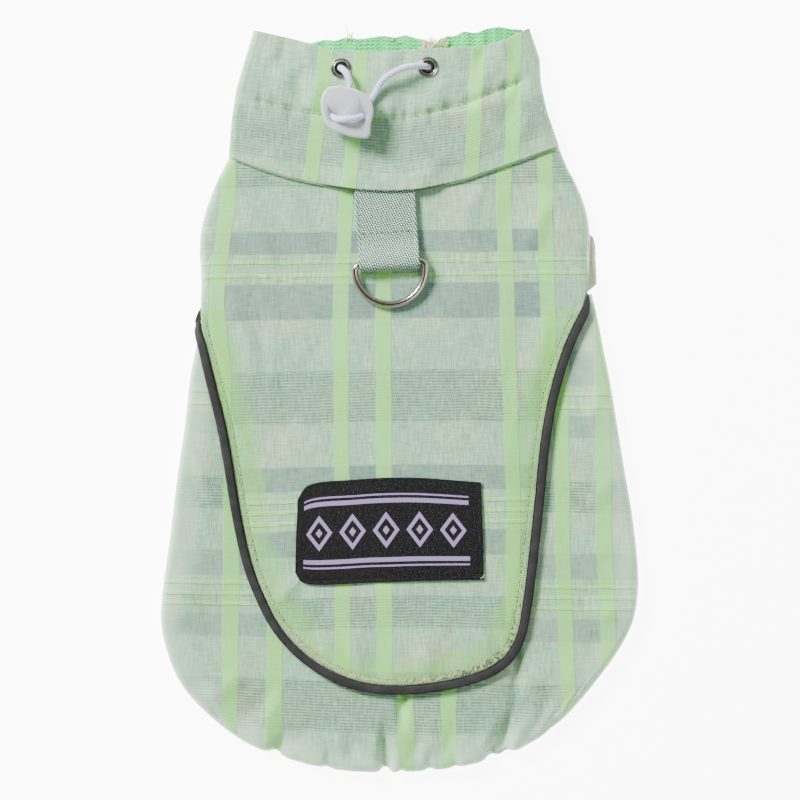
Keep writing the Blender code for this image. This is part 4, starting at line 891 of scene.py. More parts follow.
def mottle_group():
    """Slow unevenness of colour over a piece: a tone round 1."""
    tree, n, given, result = new_group(
        "soft mottle", {"Vector": "vector", "Size": "value", "Amount": "value"}, {"Tone": "value"})
    scale = n.math("DIVIDE", 1.0, given["Size"])
    cloud = n.add("ShaderNodeTexNoise", {"Vector": given["Vector"], "Scale": scale, "Detail": 3.0})
    shade = n.times(n.minus(cloud.outputs["Fac"], 0.5), 2.0, given["Amount"])
    n.put(result.inputs["Tone"], n.plus(1.0, shade))
    return tree


BLUE_BANDS = ((6.2, 20.5), (80.0, 89.8), (105.8, 116.4), (164.8, 173.9))
OPEN_BANDS = ((41.4, 62.7), (133.5, 146.8))
LINES = (2.7, 93.9, 98.2, 102.7, 177.3)
FAINT_LINES = (5.2, 91.4, 105.0, 174.8)
STRIPE_HALF = 3.2
LINE_HALF = 0.72
OPEN_ROW = 1.2
OPEN_DASH = 0.75


def check_group():
    """The checked voile: satin stripes, slubby cross lines, tinted and open-weave bands."""
    tree, n, given, result = new_group(
        "checked voile",
        {"Vector": "vector", "Plain": "colour", "Band": "colour", "Stripe": "colour", "Line": "colour",
         "Open": "colour", "Blush": "colour", "Blush amount": "value",
         "Band amount": "value", "Open amount": "value"},
        {"Color": "colour", "Height": "value", "Stripe mask": "value"})
    flat = given["Vector"]
    x, y, _ = n.split(flat)
    sway = n.minus(n.noise(n.stretch(flat, (0.05, 0.025, 1.0)), 1.0, 2.0), 0.5)
    shiver = n.minus(n.noise(n.stretch(flat, (0.5, 0.9, 1.0)), 1.0, 1.0), 0.5)
    u = n.plus(x, n.times(sway, 1.4), n.times(shiver, 0.25))
    v = n.plus(y, n.times(sway, 1.2), n.times(shiver, 0.3))
    pair = n.math("PINGPONG", u, STRIPE_PITCH / 2.0)
    stripe = n.near(pair, STRIPE_OFF, STRIPE_HALF, 0.22)
    between = n.minus(1.0, n.rise(pair, STRIPE_OFF - 0.5, STRIPE_OFF + 0.5))
    along_cloth = n.math("FLOORED_MODULO", v, BAND_REPEAT)
    blue = n.plus(*[n.inside(along_cloth, low, high, 0.35) for low, high in BLUE_BANDS])
    opened = n.plus(*[n.inside(along_cloth, low, high, 0.35) for low, high in OPEN_BANDS])
    knots = n.noise(n.stretch(flat, (0.55, 0.15, 1.0)), 1.0, 2.0)
    line_half = n.plus(LINE_HALF - 0.25, n.times(knots, 0.5))
    lines = []
    for middle in LINES:
        away = n.size(n.minus(along_cloth, middle))
        edge = n.minus(away, line_half)
        lines.append(n.minus(1.0, n.rise(edge, -0.25, 0.25)))
    line = n.plus(*lines)
    faint = n.plus(*[n.near(along_cloth, middle, 0.3, 0.25) for middle in FAINT_LINES])

    weave = n.group(weave_group(), {"Vector": flat, "Pitch": 0.82, "Unevenness": 0.8})
    fine_warp = n.noise(n.stretch(flat, (2.0, 0.12, 1.0)), 1.0, 2.0)
    fine_weft = n.noise(n.stretch(flat, (0.20, 2.0, 1.0)), 1.0, 2.0)
    streaks = n.rise(fine_warp, 0.38, 0.62)
    bars = n.rise(fine_weft, 0.38, 0.62)
    tinted = n.plus(0.42, n.times(between, 0.18), n.times(streaks, 0.48))
    blue_share = n.times(blue, given["Band amount"], tinted)
    row = n.math("FLOOR", n.math("DIVIDE", v, OPEN_ROW))
    in_row = n.near(n.math("FRACT", n.math("DIVIDE", v, OPEN_ROW)), 0.5, 0.24, 0.12)
    dash_place = n.plus(n.math("DIVIDE", u, OPEN_DASH), n.times(row, 0.5), n.times(knots, 1.2))
    in_dash = n.near(n.math("FRACT", dash_place), 0.5, 0.33, 0.14)
    gaps = n.noise(n.stretch(flat, (0.5, 0.5, 1.0)), 1.0, 2.0)
    dash = n.times(opened, in_row, n.plus(0.15, n.times(in_dash, 0.85)), n.rise(gaps, 0.22, 0.5))
    open_ground = n.times(opened, 0.15)

    cloud = n.noise(n.stretch(flat, (0.035, 0.035, 1.0)), 1.0, 3.0)
    blush = n.times(n.rise(cloud, 0.46, 0.70), given["Blush amount"])
    colour = n.mix(blush, given["Plain"], given["Blush"])
    colour = n.mix(blue_share, colour, given["Band"])
    colour = n.mix(open_ground, colour, given["Band"])
    colour = n.mix(n.times(dash, given["Open amount"], 0.85), colour, given["Open"])
    colour = n.mix(n.times(faint, 0.22), colour, given["Line"])
    satin = n.wave(n.plus(u, v), 0.62)
    satin_tone = n.plus(0.90, n.times(satin, 0.18))
    stripe_share = n.times(stripe, n.minus(0.97, n.times(blue, 0.16)))
    colour = n.mix(stripe_share, colour, given["Stripe"])
    colour = n.mix(n.times(line, n.plus(0.35, n.times(knots, 0.6))), colour, given["Line"])
    tone_plain = n.plus(0.80, n.times(streaks, 0.26), n.times(bars, 0.14))
    ground_tone = n.times(weave["Tone"], tone_plain, n.minus(1.0, stripe))
    tone_all = n.plus(ground_tone, n.times(stripe, satin_tone, n.plus(0.7, n.times(weave["Tone"], 0.3))))
    n.put(result.inputs["Color"], n.shaded(colour, tone_all))
    ground = n.times(weave["Height"], n.minus(0.5, n.times(stripe, 0.3)))
    raised = n.plus(n.times(stripe, 0.8), n.times(line, 1.6), n.times(satin, stripe, 0.25))
    n.put(result.inputs["Height"], n.plus(ground, raised, n.times(dash, -0.9), n.times(bars, 0.25)))
    n.put(result.inputs["Stripe mask"], stripe)
    return tree


GROUPS = {}


def shared(name):
    """A shared effect, built once."""
    if name not in GROUPS:
        GROUPS[name] = {"check": check_group, "weave": weave_group, "mottle": mottle_group}[name]()
    return GROUPS[name]


# ---------------------------------------------------------------- finishes
def cloth_finish(name, settings, edge_map=False, hem_map=False, bands=1.0, opened=1.0):
    """The checked voile over its pale lining; with the green facing along a piped edge."""
    finish, n, shader = new_material(name, 0.82)
    flat = n.uv("cloth")
    if edge_map:
        off_middle = n.size(n.minus(n.split(flat)[0], 8.7))
        bands = n.minus(1.0, n.times(n.rise(off_middle, 69.5, 73.0), 0.7))
    check = n.group(shared("check"), {
        "Vector": flat, "Plain": settings.plain_colour, "Band": settings.band_colour,
        "Stripe": settings.stripe_colour, "Line": settings.line_colour, "Open": settings.open_colour,
        "Blush": settings.blush_colour, "Blush amount": settings.blush_amount, "Band amount": bands,
        "Open amount": opened})
    mottle = n.group(shared("mottle"), {"Vector": flat, "Size": 26.0, "Amount": 0.10})["Tone"]
    colour = check["Color"]
    height = check["Height"]
    if hem_map:
        inward, along, _ = n.split(n.uv("edge"))
        ragged = n.noise(n.join(n.times(along, 0.05), n.times(inward, 0.04)), 1.0, 3.0)
        reach = n.plus(8.0, n.times(ragged, 14.0))
        doubled = n.minus(1.0, n.rise(n.math("DIVIDE", inward, reach), 0.15, 1.0))
        through = n.minus(1.0, n.times(check["Stripe mask"], 0.65))
        amount = n.times(doubled, through, n.plus(0.25, n.times(ragged, 0.6)))
        colour = n.mix(amount, colour, settings.pale_colour)
    if edge_map:
        inward, along, _ = n.split(n.uv("edge"))
        ragged = n.noise(n.join(n.times(along, 0.06), n.times(inward, 0.05)), 1.0, 3.0)
        width = n.plus(3.0, n.times(ragged, 15.0))
        facing = n.minus(1.0, n.rise(n.minus(inward, width), -2.5, 2.5))
        fuzz = n.noise(n.join(n.times(along, 2.2), n.times(inward, 2.2)), 1.0, 3.0)
        blotch = n.noise(n.join(n.times(along, 0.35), n.times(inward, 0.5)), 1.0, 2.0)
        amount = n.times(facing, n.plus(0.18, n.times(blotch, 0.75)))
        colour = n.mix(amount, colour, settings.facing_colour)
        allowance = n.minus(1.0, n.rise(inward, 2.3, 3.0))
        speckle = n.rise(fuzz, 0.42, 0.62)
        low_down = n.minus(1.0, n.rise(n.split(n.place())[1], -95.0, -55.0))
        frayed = n.mix(speckle, settings.fray_dark_colour, settings.fray_colour)
        colour = n.mix(n.times(allowance, n.plus(0.30, n.times(low_down, 0.40))), colour, frayed)
        height = n.plus(height, n.times(allowance, speckle, 1.6))
    n.put(shader.inputs["Base Color"], n.shaded(colour, mottle))
    n.put(shader.inputs["Normal"], n.bump(height, 0.9, 0.16))
    n.put(shader.inputs["Roughness"], n.minus(0.86, n.times(check["Stripe mask"], 0.22)))
    shader.inputs["Sheen Weight"].default_value = 0.12
    shader.inputs["Sheen Roughness"].default_value = 0.5
    return finish


def woven_finish(name, colour, second, pitch, roughness, uneven=0.2, bump=0.10):
    """A plain woven or fibrous finish on the piece's own place."""
    finish, n, shader = new_material(name, roughness)
    where = n.place()
    weave = n.group(shared("weave"), {"Vector": where, "Pitch": pitch, "Unevenness": uneven})
    mottle = n.group(shared("mottle"), {"Vector": where, "Size": 5.0, "Amount": 0.5})["Tone"]
    base = n.mix(n.rise(mottle, 0.75, 1.25), colour, second)
    n.put(shader.inputs["Base Color"], n.shaded(base, weave["Tone"]))
    n.put(shader.inputs["Normal"], n.bump(weave["Height"], 0.7, bump))
    return finish


def thread_finish(name, colour):
    """Twisted sewing thread: bright and dark turns along each stitch."""
    finish, n, shader = new_material(name, 0.55)
    where = n.place()
    x, y, z = n.split(where)
    twist = n.wave(n.plus(x, y, z), 0.42)
    tone_shift = n.plus(0.60, n.times(twist, 0.55))
    n.put(shader.inputs["Base Color"], n.shaded(colour, tone_shift))
    n.put(shader.inputs["Normal"], n.bump(twist, 0.6, 0.06))
    return finish


def piping_finish(settings):
    """Dark reflective tape over a cord: tiny glass beads, with painted highlight patches where it catches
    light.
    """
    finish, n, shader = new_material("reflective tape", 0.6)
    where = n.place()
    beads = n.add("ShaderNodeTexVoronoi", {"Vector": where, "Scale": 3.2}).outputs["Distance"]
    grain = n.noise(where, 2.4, 3.0)
    # Painted highlight: soft patches where the tape takes its lighter colour, standing for the light it
    # catches.
    light_catch = n.noise(n.stretch(where, (0.16, 0.16, 0.16)), 1.0, 3.0)
    base = n.mix(n.rise(light_catch, 0.40, 0.68), settings.piping_colour, settings.piping_light_colour)
    shift = n.plus(0.88, n.times(grain, 0.24))
    n.put(shader.inputs["Base Color"], n.shaded(base, shift))
    n.put(shader.inputs["Roughness"], n.plus(0.70, n.times(grain, 0.2)))
    shader.inputs["Specular IOR Level"].default_value = 0.12
    n.put(shader.inputs["Normal"], n.bump(beads, 0.35, 0.05))
    return finish


def webbing_finish(settings):
    """Herringbone webbing: pale chevrons over darker yarn, with ribbed selvedges."""
    finish, n, shader = new_material("herringbone webbing", 0.62)
    x, y, _ = n.split(n.uv("strap"))
    rib = n.wave(n.plus(y, n.times(n.math("PINGPONG", x, 3.1), 0.35)), 1.0)
    fine = n.wave(n.plus(x, n.times(y, 0.42)), 1.03)
    edge = n.rise(n.size(x), WEBBING_WIDTH / 2.0 - 1.5, WEBBING_WIDTH / 2.0 - 1.2)
    selvedge = n.wave(y, 0.9)
    pattern = n.plus(n.times(n.minus(1.0, edge), rib), n.times(edge, selvedge))
    yarn = n.plus(n.times(pattern, 0.45), n.times(fine, 0.55))
    base = n.mix(n.rise(yarn, 0.52, 0.67), settings.webbing_dark_colour, settings.webbing_light_colour)
    mottle = n.group(shared("mottle"), {"Vector": n.join(x, y), "Size": 4.0, "Amount": 0.06})["Tone"]
    n.put(shader.inputs["Base Color"], n.shaded(base, mottle))
    n.put(shader.inputs["Normal"], n.bump(yarn, 0.8, 0.14))
    return finish


def metal_finish(name, colour, dark_colour):
    """Nickel plate: polished, with faint rubs and a warm cast."""
    finish, n, shader = new_material(name, 0.22, 1.0)
    where = n.place()
    rub = n.noise(n.stretch(where, (0.4, 0.4, 0.4)), 1.0, 4.0)
    fine = n.noise(n.stretch(where, (6.0, 6.0, 6.0)), 1.0, 2.0)
    n.put(shader.inputs["Base Color"], n.mix(n.times(n.rise(rub, 0.45, 0.75), 0.5), colour, dark_colour))
    n.put(shader.inputs["Roughness"], n.plus(0.10, n.times(rub, 0.14), n.times(fine, 0.06)))
    n.put(shader.inputs["Normal"], n.bump(fine, 0.12, 0.02))
    return finish


def cord_finish(settings):
    """Braided elastic: pale yarns that cross in two directions round the cord, with painted shade in the
    hollows between them.
    """
    finish, n, shader = new_material("braided elastic", 0.6)
    along, around, _ = n.split(n.uv("braid"))
    first = n.math("SINE", n.plus(n.times(along, 2.0 * math.pi / 2.6), n.times(around, 6.0)))
    second = n.math("SINE", n.minus(n.times(along, 2.0 * math.pi / 2.6), n.times(around, 6.0)))
    crossing = n.math("MAXIMUM", first, second)
    strand = n.wave(n.plus(n.times(along, 3.0), n.times(around, 1.3)), 0.8)
    yarn = n.plus(n.times(n.rise(crossing, -0.2, 0.9), 0.7), n.times(strand, 0.3))
    # Painted shade: the darker colour fills the hollows between the yarns' crossings.
    n.put(shader.inputs["Base Color"], n.mix(yarn, settings.cord_hollow_shade_colour, settings.cord_colour))
    n.put(shader.inputs["Normal"], n.bump(yarn, 0.6, 0.08))
    return finish


def silicone_finish(settings):
    """Milky soft plastic that lets some light through."""
    finish, n, shader = new_material("milky silicone", 0.34)
    where = n.place()
    cloud = n.noise(n.stretch(where, (0.16, 0.16, 0.16)), 1.0, 2.0)
    n.put(shader.inputs["Base Color"], n.mix(cloud, settings.lock_colour, settings.lock_edge_colour))
    n.put(shader.inputs["Roughness"], n.plus(0.28, n.times(cloud, 0.14)))
    shader.inputs["Transmission Weight"].default_value = 0.34
    shader.inputs["IOR"].default_value = 1.41
    shader.inputs["Subsurface Weight"].default_value = 0.5
    shader.inputs["Subsurface Radius"].default_value = (0.004, 0.004, 0.004)
    shader.inputs["Subsurface Scale"].default_value = 1.0
    return finish


def mesh_finish(settings):
    """Knitted mesh lining: ribs with small eyelet holes between the loops; painted shade in the holes, along
    soft pleats and where the lining goes in under the casing.
    """
    finish, n, shader = new_material("mint mesh", 0.78)
    x, y, _ = n.split(n.uv("knit"))
    rib = n.wave(x, 2.2)
    loop = n.wave(n.plus(y, n.times(n.math("PINGPONG", x, 1.1), 0.8)), 1.5)
    hole = n.times(n.rise(rib, 0.55, 0.9), n.rise(loop, 0.55, 0.9))
    # Painted shade: the knit's holes take the darker colour.
    base = n.mix(hole, settings.mesh_colour, settings.mesh_hole_shade_colour)
    rough = n.noise(n.join(x, y), 1.3, 3.0)
    taped = n.times(n.inside(n.plus(x, n.times(rough, 2.4)), 10.2, 18.4, 0.3), n.rise(rough, 0.30, 0.42))
    base = n.mix(taped, base, settings.tape_colour)
    # Painted shade: below y 139.6 the lining takes a dark colour for the shade inside the casing, which shows
    # through the eyelets.
    base = n.mix(n.rise(y, 141.6, 139.6), base, settings.casing_shade_colour)
    # Painted shade: soft streaks along the lining's pleats darken it, on top of a tone along the loops.
    pleat_shade = n.noise(n.join(n.times(x, 0.22), n.times(y, 0.03)), 1.0, 2.0)
    light = n.times(n.plus(0.92, n.times(loop, 0.12)), n.plus(0.72, n.times(n.rise(pleat_shade, 0.32, 0.52), 0.32)))
    n.put(shader.inputs["Base Color"], n.shaded(base, light))
    n.put(shader.inputs["Normal"], n.bump(n.minus(loop, hole), 0.8, 0.25))
    return finish


def label_finish(settings):
    """Damask label: black twill with a woven row of plain lozenges between bars."""
    finish, n, shader = new_material("woven label", 0.85)
    shader.inputs["Specular IOR Level"].default_value = 0.15
    flat = n.uv("label")
    x, y, _ = n.split(flat)
    folded = n.math("PINGPONG", n.plus(x, 6.6), 6.6)
    across = n.times(n.minus(6.6, folded), 1.0 / 5.6)
    up = n.times(n.size(y), 1.0 / 7.6)
    lozenge = n.plus(n.size(across), up)
    ring = n.inside(lozenge, 0.62, 0.94, 0.02)
    core = n.minus(1.0, n.rise(lozenge, 0.22, 0.27))
    span = n.minus(1.0, n.rise(n.size(x), 32.6, 32.9))
    bars = n.near(n.size(y), 11.6, 0.9, 0.12)
    hairs = n.near(n.size(y), 14.0, 0.35, 0.12)
    mark = n.times(span, n.plus(ring, core, bars, hairs))
    mark = n.math("MINIMUM", mark, 1.0)
    twill = n.wave(n.plus(x, n.times(y, 0.8)), 0.62)
    weft = n.wave(y, 0.5)
    speck = n.noise(n.stretch(flat, (1.6, 2.6, 1.0)), 1.0, 2.0)
    flecks = n.times(n.rise(speck, 0.52, 0.66), n.rise(twill, 0.35, 0.85))
    ground = n.mix(n.times(flecks, 0.85), settings.label_colour, settings.label_fleck_colour)
    thread = n.mix(n.times(twill, 0.45), settings.motif_colour, settings.motif_dark_colour)
    n.put(shader.inputs["Base Color"], n.mix(mark, ground, thread))
    relief = n.plus(n.times(mark, 0.7), n.times(twill, 0.35), n.times(weft, 0.2))
    n.put(shader.inputs["Normal"], n.bump(relief, 0.8, 0.12))
    return finish


def plain_finish(name, colour, roughness, amount=0.03):
    """A calm finish for the stage and small inner faces."""
    finish, n, shader = new_material(name, roughness)
    mottle = n.group(shared("mottle"), {"Vector": n.place(), "Size": 60.0, "Amount": amount})["Tone"]
    n.put(shader.inputs["Base Color"], n.shaded(colour, mottle))
    return finish


# ---------------------------------------------------------------- cloth pieces
CLOTH_WALL = 0.55           # thickness of the visible voile and its lining
BACK_ACROSS = 260
BACK_ROWS = 180
LOWEST_TOP = 1.7            # the back's face stays this high over what is turned under
RIM_STEPS = 10
UNDER_STEPS = (0.2, 0.4, 0.6, 0.8, 1.0)


def body_uv(flat, stripes, stripe_places, bands, band_places):
    """Places in the flat cloth, in metres, for plan places in millimetres."""
    u = guided(stripes, stripe_places, flat[:, 1], flat[:, 0])
    v = guided(bands, band_places, flat[:, 0], flat[:, 1])
    return np.column_stack((u, v)) * MM


def notched(x, y, share):
    """Inward shift of the hem where its gathers notch the outline."""
    reach = np.exp(-(share / NOTCH_REACH) ** 2)
    total = np.zeros(np.shape(x))
    for middle, half_width, depth in HEM_NOTCHES:
        total = total + depth * np.exp(-((x - middle) / half_width) ** 2)
    return total * reach * (y < HEM_NOTCHED_BELOW)


def back_panel_mesh():
    """The back panel: its top, the rolled side folds and hem, and what is turned under."""
    edge = BACK_CURVE
    inward = left_of(edge)

    def crown_line(share):
        point = along(edge, share)
        normal = along(inward, share)
        radius = column(LIE, point[..., 1], 1)
        return point + normal * radius[..., None]

    rows = np.linspace(0.0, 1.0, 4 * BACK_ROWS + 1)
    left = crown_line(HEM_START * (1.0 - rows))
    right = crown_line(HEM_END + (1.0 - HEM_END) * rows)
    bottom = crown_line(np.linspace(HEM_START, HEM_END, 721))
    top = tucked_edge(left[-1], right[-1], 2.0 * LAYER_GAP)

    def on_top(u, v):
        plan = coons(u, v, left, right, bottom, top)
        x, y = plan[:, 0], plan[:, 1]
        depth = inset(x, y)
        share = HEM_START + (HEM_END - HEM_START) * u
        height = back_height(x, y, depth)
        from_hem = np.hypot(*(plan - crown_line(share)).T)
        height = height + gather(share) * np.exp(-(from_hem / GATHER_REACH) ** 2)
        shift = notched(x, y, from_hem)
        return np.column_stack((x, y + shift, np.maximum(height + back_fine(x, y, depth), LOWEST_TOP)))

    mesh, points = placed_grid(BACK_ACROSS, BACK_ROWS, on_top)
    places = plan_of(mesh)
    share_of = np.full(len(points), -1.0)
    on_left, on_right, on_hem = points[:, 0] == 0.0, points[:, 0] == 1.0, points[:, 1] == 0.0
    share_of[on_left] = HEM_START * (1.0 - points[on_left, 1])
    share_of[on_right] = HEM_END + (1.0 - HEM_END) * points[on_right, 1]
    share_of[on_hem] = HEM_START + (HEM_END - HEM_START) * points[on_hem, 0]
    shares = mesh.verts.layers.float.new("edge_share")
    crowns = mesh.verts.layers.float.new("crown_height")
    flat_x, flat_y = (mesh.verts.layers.float.new(name) for name in ("flat_x", "flat_y"))
    for vertex, share, spot in zip(mesh.verts, share_of, places):
        vertex[shares], vertex[crowns] = share, spot[2]
        vertex[flat_x], vertex[flat_y] = spot[0], spot[1]
    rim = [side for side in mesh.edges if len(side.link_faces) == 1
           and min(vertex[shares] for vertex in side.verts) >= 0.0]
    reached = 0.0
    for step in range(1, RIM_STEPS + len(UNDER_STEPS) + 1):
        grown = bmesh.ops.extrude_edge_only(mesh, edges=rim)["geom"]
        fresh = [item for item in grown if isinstance(item, bmesh.types.BMVert)]
        kept = set(fresh)
        rim = [item for item in grown if isinstance(item, bmesh.types.BMEdge) and set(item.verts) <= kept]
        share = np.array([vertex[shares] for vertex in fresh])
        half = np.array([vertex[crowns] for vertex in fresh]) / 2.0
        point, normal = along(edge, share), along(inward, share)
        radius = column(LIE, point[:, 1], 1)
        pulled_in = 0.5 * np.maximum(radius - half, 0.0)
        shift = notched(point[:, 0], point[:, 1], np.zeros(len(share)))
        if step <= RIM_STEPS:
            angle = math.pi * step / RIM_STEPS
            inside = radius + (pulled_in - radius) * math.sin(angle)
            height = half + half * math.cos(angle)
            reached = angle * radius
        else:
            part = UNDER_STEPS[step - RIM_STEPS - 1]
            inside = radius + part * (turned_under(point[:, 1]) - radius)
            height = 0.5 * part * np.maximum(creases(UNDER_CREASES, *point.T), 0.0)
            reached = math.pi * radius + part * (turned_under(point[:, 1]) - radius)
        spot = point + normal * inside[:, None]
        spot[:, 1] += shift
        unrolled = point + normal * (radius - reached)[:, None]
        for vertex, (x, y), z, (far_x, far_y) in zip(fresh, spot, height, unrolled):
            vertex.co = (x, y, z)
            vertex[flat_x], vertex[flat_y] = far_x, far_y
        if step == 1:
            middles = [along(edge, sum(vertex[shares] for vertex in side.verts) / 2.0)[1] for side in rim]
            rim = [side for side, y in zip(rim, middles)
                   if not ARMHOLE_BOTTOM + 0.1 < y < ARMHOLE_TOP - 0.1]
    bmesh.ops.recalc_face_normals(mesh, faces=mesh.faces)
    flat = np.array([(vertex[flat_x], vertex[flat_y]) for vertex in mesh.verts])
    return mesh, flat


def make_back_panel(settings, finish):
    """The visible back panel, one thin shell on its solid's form."""
    mesh, flat = back_panel_mesh()
    depth, run = edge_distance(BACK_CURVE, flat[:, 0], flat[:, 1])
    uvs = {"cloth": body_uv(flat, BACK_STRIPES, BACK_STRIPE_PLACES, BACK_BANDS, BACK_BAND_PLACES),
           "edge": np.column_stack((np.maximum(depth, 0.0), run)) * MM}
    panel = new_object("back_panel_cloth", mesh, finish, uvs, settings.cloth_wall / MM)
    dress(panel, "back_panel")


CAPE_ACROSS = 180           # the same count as the steps of its crowded shares
CAPE_ROWS = 200
CAPE_CORNERS = (-50.0, 48.0)


def make_cape(settings, finish):
    """The visible cape, with the map that its facing and seam allowance follow."""
    edge = CAPE_CURVE
    start, end = corner_shares(edge, -70.0, CAPE_CORNERS)
    rows = np.linspace(0.0, 1.0, 4 * CAPE_ROWS + 1)
    left = along(edge, start * (1.0 - rows))
    right = along(edge, end + (1.0 - end) * rows)
    bottom = along(edge, start + (end - start) * rows)
    top = tucked_edge(left[-1], right[-1], SEAM_GAP)
    crowd = np.concatenate(((0.0, 0.004, 0.009, 0.015, 0.022), np.linspace(0.03, 0.97, 171),
                            (0.978, 0.985, 0.991, 0.996, 1.0)))

    def on_back(u, v):
        plan = coons(spread(crowd, u), v, left, right, bottom, top)
        return np.column_stack((plan, cape_height(plan[:, 0], plan[:, 1])))

    mesh, _ = placed_grid(CAPE_ACROSS, CAPE_ROWS, on_back)
    flat = plan_of(mesh)[:, :2]
    depth, run = edge_distance(edge, flat[:, 0], flat[:, 1])
    free = eased((44.0 - flat[:, 1]) / 8.0)
    depth = np.maximum(depth, 0.0) + 60.0 * (1.0 - free)
    uvs = {"cloth": body_uv(flat, CAPE_STRIPES, CAPE_STRIPE_PLACES, CAPE_BANDS, CAPE_BAND_PLACES),
           "edge": np.column_stack((depth, run)) * MM}
    panel = new_object("cape_cloth", mesh, finish, uvs, settings.cloth_wall / MM)
    dress(panel, "cape")


PIPING_TIP_IN = 0.8         # the left tip lies this much closer to the cape


def make_piping(finish):
    """The reflective piping, drawn out to a point at both ends."""
    steps, sides = 420, 20
    plan = smooth_curve(PIPING_LINE, steps + 1)
    lift = LAYER_GAP + PIPING_HEIGHT / 2.0
    height = over_back(plan[:, 0], plan[:, 1], lift)
    step = 0.2

    def slope(step_x, step_y):
        ahead = over_back(plan[:, 0] + step_x, plan[:, 1] + step_y, lift)
        return (ahead - over_back(plan[:, 0] - step_x, plan[:, 1] - step_y, lift)) / (2 * step)

    normals = np.stack((-slope(step, 0.0), -slope(0.0, step), np.ones(steps + 1)), axis=1)
    normals = unit(normals)
    share = np.linspace(0.0, 1.0, steps + 1)
    thin = np.clip(np.minimum(share / 0.028, (1.0 - share) / 0.022), 0.0, 1.0) ** 0.7 * 0.97 + 0.03
    inward = (1.0 - thin) * PIPING_WIDTH / 2.0 + PIPING_TIP_IN * (1.0 - eased(share / 0.08))
    path = np.column_stack((plan + left_of(plan) * inward[:, None], height))
    tangents = unit(np.gradient(path, axis=0))
    across = unit(np.cross(tangents, normals))

    def place(u, v):
        index = np.rint(u * steps).astype(int)
        turn = round_turn(v, sides)
        flat_top = rounded(np.cos(turn), 0.7) * PIPING_WIDTH / 2.0
        out = rounded(np.sin(turn), 0.5) * PIPING_HEIGHT / 2.0
        size = thin[index][:, None]
        return path[index] + (across[index] * flat_top[:, None] + normals[index] * out[:, None]) * size

    piping = new_object("cape_piping_tape", placed_tube(steps, sides, place), finish)
    dress(piping, "cape_piping")


BELLY_HEM = -84.0
BELLY_HEM_DIP = 5.0


def belly_edge(right, y):
    """x of one side of the belly panel at given heights, clear of what is turned under."""
    inward = left_of(BACK_CURVE)
    point = BACK_CURVE[BACK_CURVE[:, 1] > -120.0]
    turned_in = (turned_under(point[:, 1]) + SEAM_GAP)[:, None]
    beside = point + inward[BACK_CURVE[:, 1] > -120.0] * turned_in
    side = beside[(point[:, 0] > 0.0) == right]
    side = side[np.argsort(side[:, 1])]
    binding = smooth_curve(BINDING_RIGHT if right else BINDING_LEFT, 30)[::-1]
    clear = (-1.0 if right else 1.0) * (BINDING_WIDTH + SEAM_GAP)
    armhole = np.interp(y, binding[:, 1], binding[:, 0]) + clear
    in_hole = (y > ARMHOLE_BOTTOM + 0.9) & (y < ARMHOLE_TOP - 0.9)
    return np.where(in_hole, armhole, np.interp(y, side[:, 1], side[:, 0]))


def make_belly_panel(finish):
    """The belly panel, flat on the ground, with its hem and soft creases."""
    neck = seam_line(121, 0.0)
    columns, rows = 110, 150

    def place(u, v):
        top = np.interp(-66.0 + 129.0 * u, neck[:, 0], neck[:, 1]) - SEAM_GAP
        hem = BELLY_HEM + BELLY_HEM_DIP * np.sin(math.pi * u)
        y = hem + (top - hem) * v
        left, right = belly_edge(False, y), belly_edge(True, y)
        x = left + (right - left) * u
        lifted = np.maximum(creases(UNDER_CREASES, x, y), 0.0)
        lifted = lifted * eased(np.minimum(u, 1.0 - u) / 0.08) * eased(np.minimum(v, 1.0 - v) / 0.06)
        fold = 0.12 * np.exp(-((y - hem - 7.0) / 0.8) ** 2)
        return np.column_stack((x, y, WALL - 0.35 + 1.4 * lifted - fold))

    mesh, _ = placed_grid(columns, rows, place)
    flat = plan_of(mesh)[:, :2]
    uvs = {"cloth": body_uv(flat, BACK_STRIPES, BACK_STRIPE_PLACES, BACK_BANDS, BACK_BAND_PLACES)}
    panel = new_object("belly_panel_cloth", mesh, finish, uvs, 0.6, even=False)
    dress(panel, "belly_panel")


def make_binding(name, node, edge, sideways, finish):
    """A folded bound edge along one armhole, rounded over at its outer side."""
    outer = smooth_curve(edge, 61)
    steps, sides = 60, 20

    def place(u, v):
        index = np.rint(u * steps).astype(int)
        turn = round_turn(v, sides)
        across = BINDING_WIDTH / 2.0 * (1.0 - rounded(np.cos(turn), 0.4))
        up = BINDING_WALL / 2.0 * (1.0 + rounded(np.sin(turn), 0.7))
        groove = 0.18 * np.exp(-((across - 4.1) / 0.35) ** 2) * (up > BINDING_WALL / 2.0)
        pucker = 0.06 * np.sin(index * 0.9) * (up > BINDING_WALL / 2.0)
        ends = 0.25 + 0.75 * eased(np.minimum(u, 1.0 - u) / 0.16)
        across = BINDING_WIDTH * (1.0 - ends) + across * ends
        return np.column_stack((outer[index, 0] + sideways * across, outer[index, 1], up - groove + pucker))

    piece = new_object(name, placed_tube(steps, sides, place), finish)
    dress(piece, node)


# ---------------------------------------------------------------- collar pieces
COLLAR_ACROSS = 28
COLLAR_UNDER = 8
COLLAR_TURN_STEPS = 4
COLLAR_RADIUS = 2.9
COLLAR_SEAM_RADIUS = 3.05
COLLAR_COARSE = COLLAR_ACROSS + COLLAR_UNDER + 2 * COLLAR_TURN_STEPS
COLLAR_FINER = 6
COLLAR_DOWN = 84
RUFFLES = 23.0              # small ruffles across the collar along the casing seam
RUFFLE_HEIGHT = 0.42
RUFFLE_REACH = 3.8
CASING_GROOVE = 0.60
CASING_GROOVE_WIDTH = 0.9


def casing_line(share):
    """Plan line of the casing's stitching at shares of the collar's width."""
    seam = seam_line(121, 0.0)
    x = seam[0, 0] + (seam[-1, 0] - seam[0, 0]) * share
    up = CASING_SEAM_UP + CASING_SEAM_RISE * share
    return np.column_stack((x, np.interp(x, seam[:, 0], seam[:, 1]) + up))


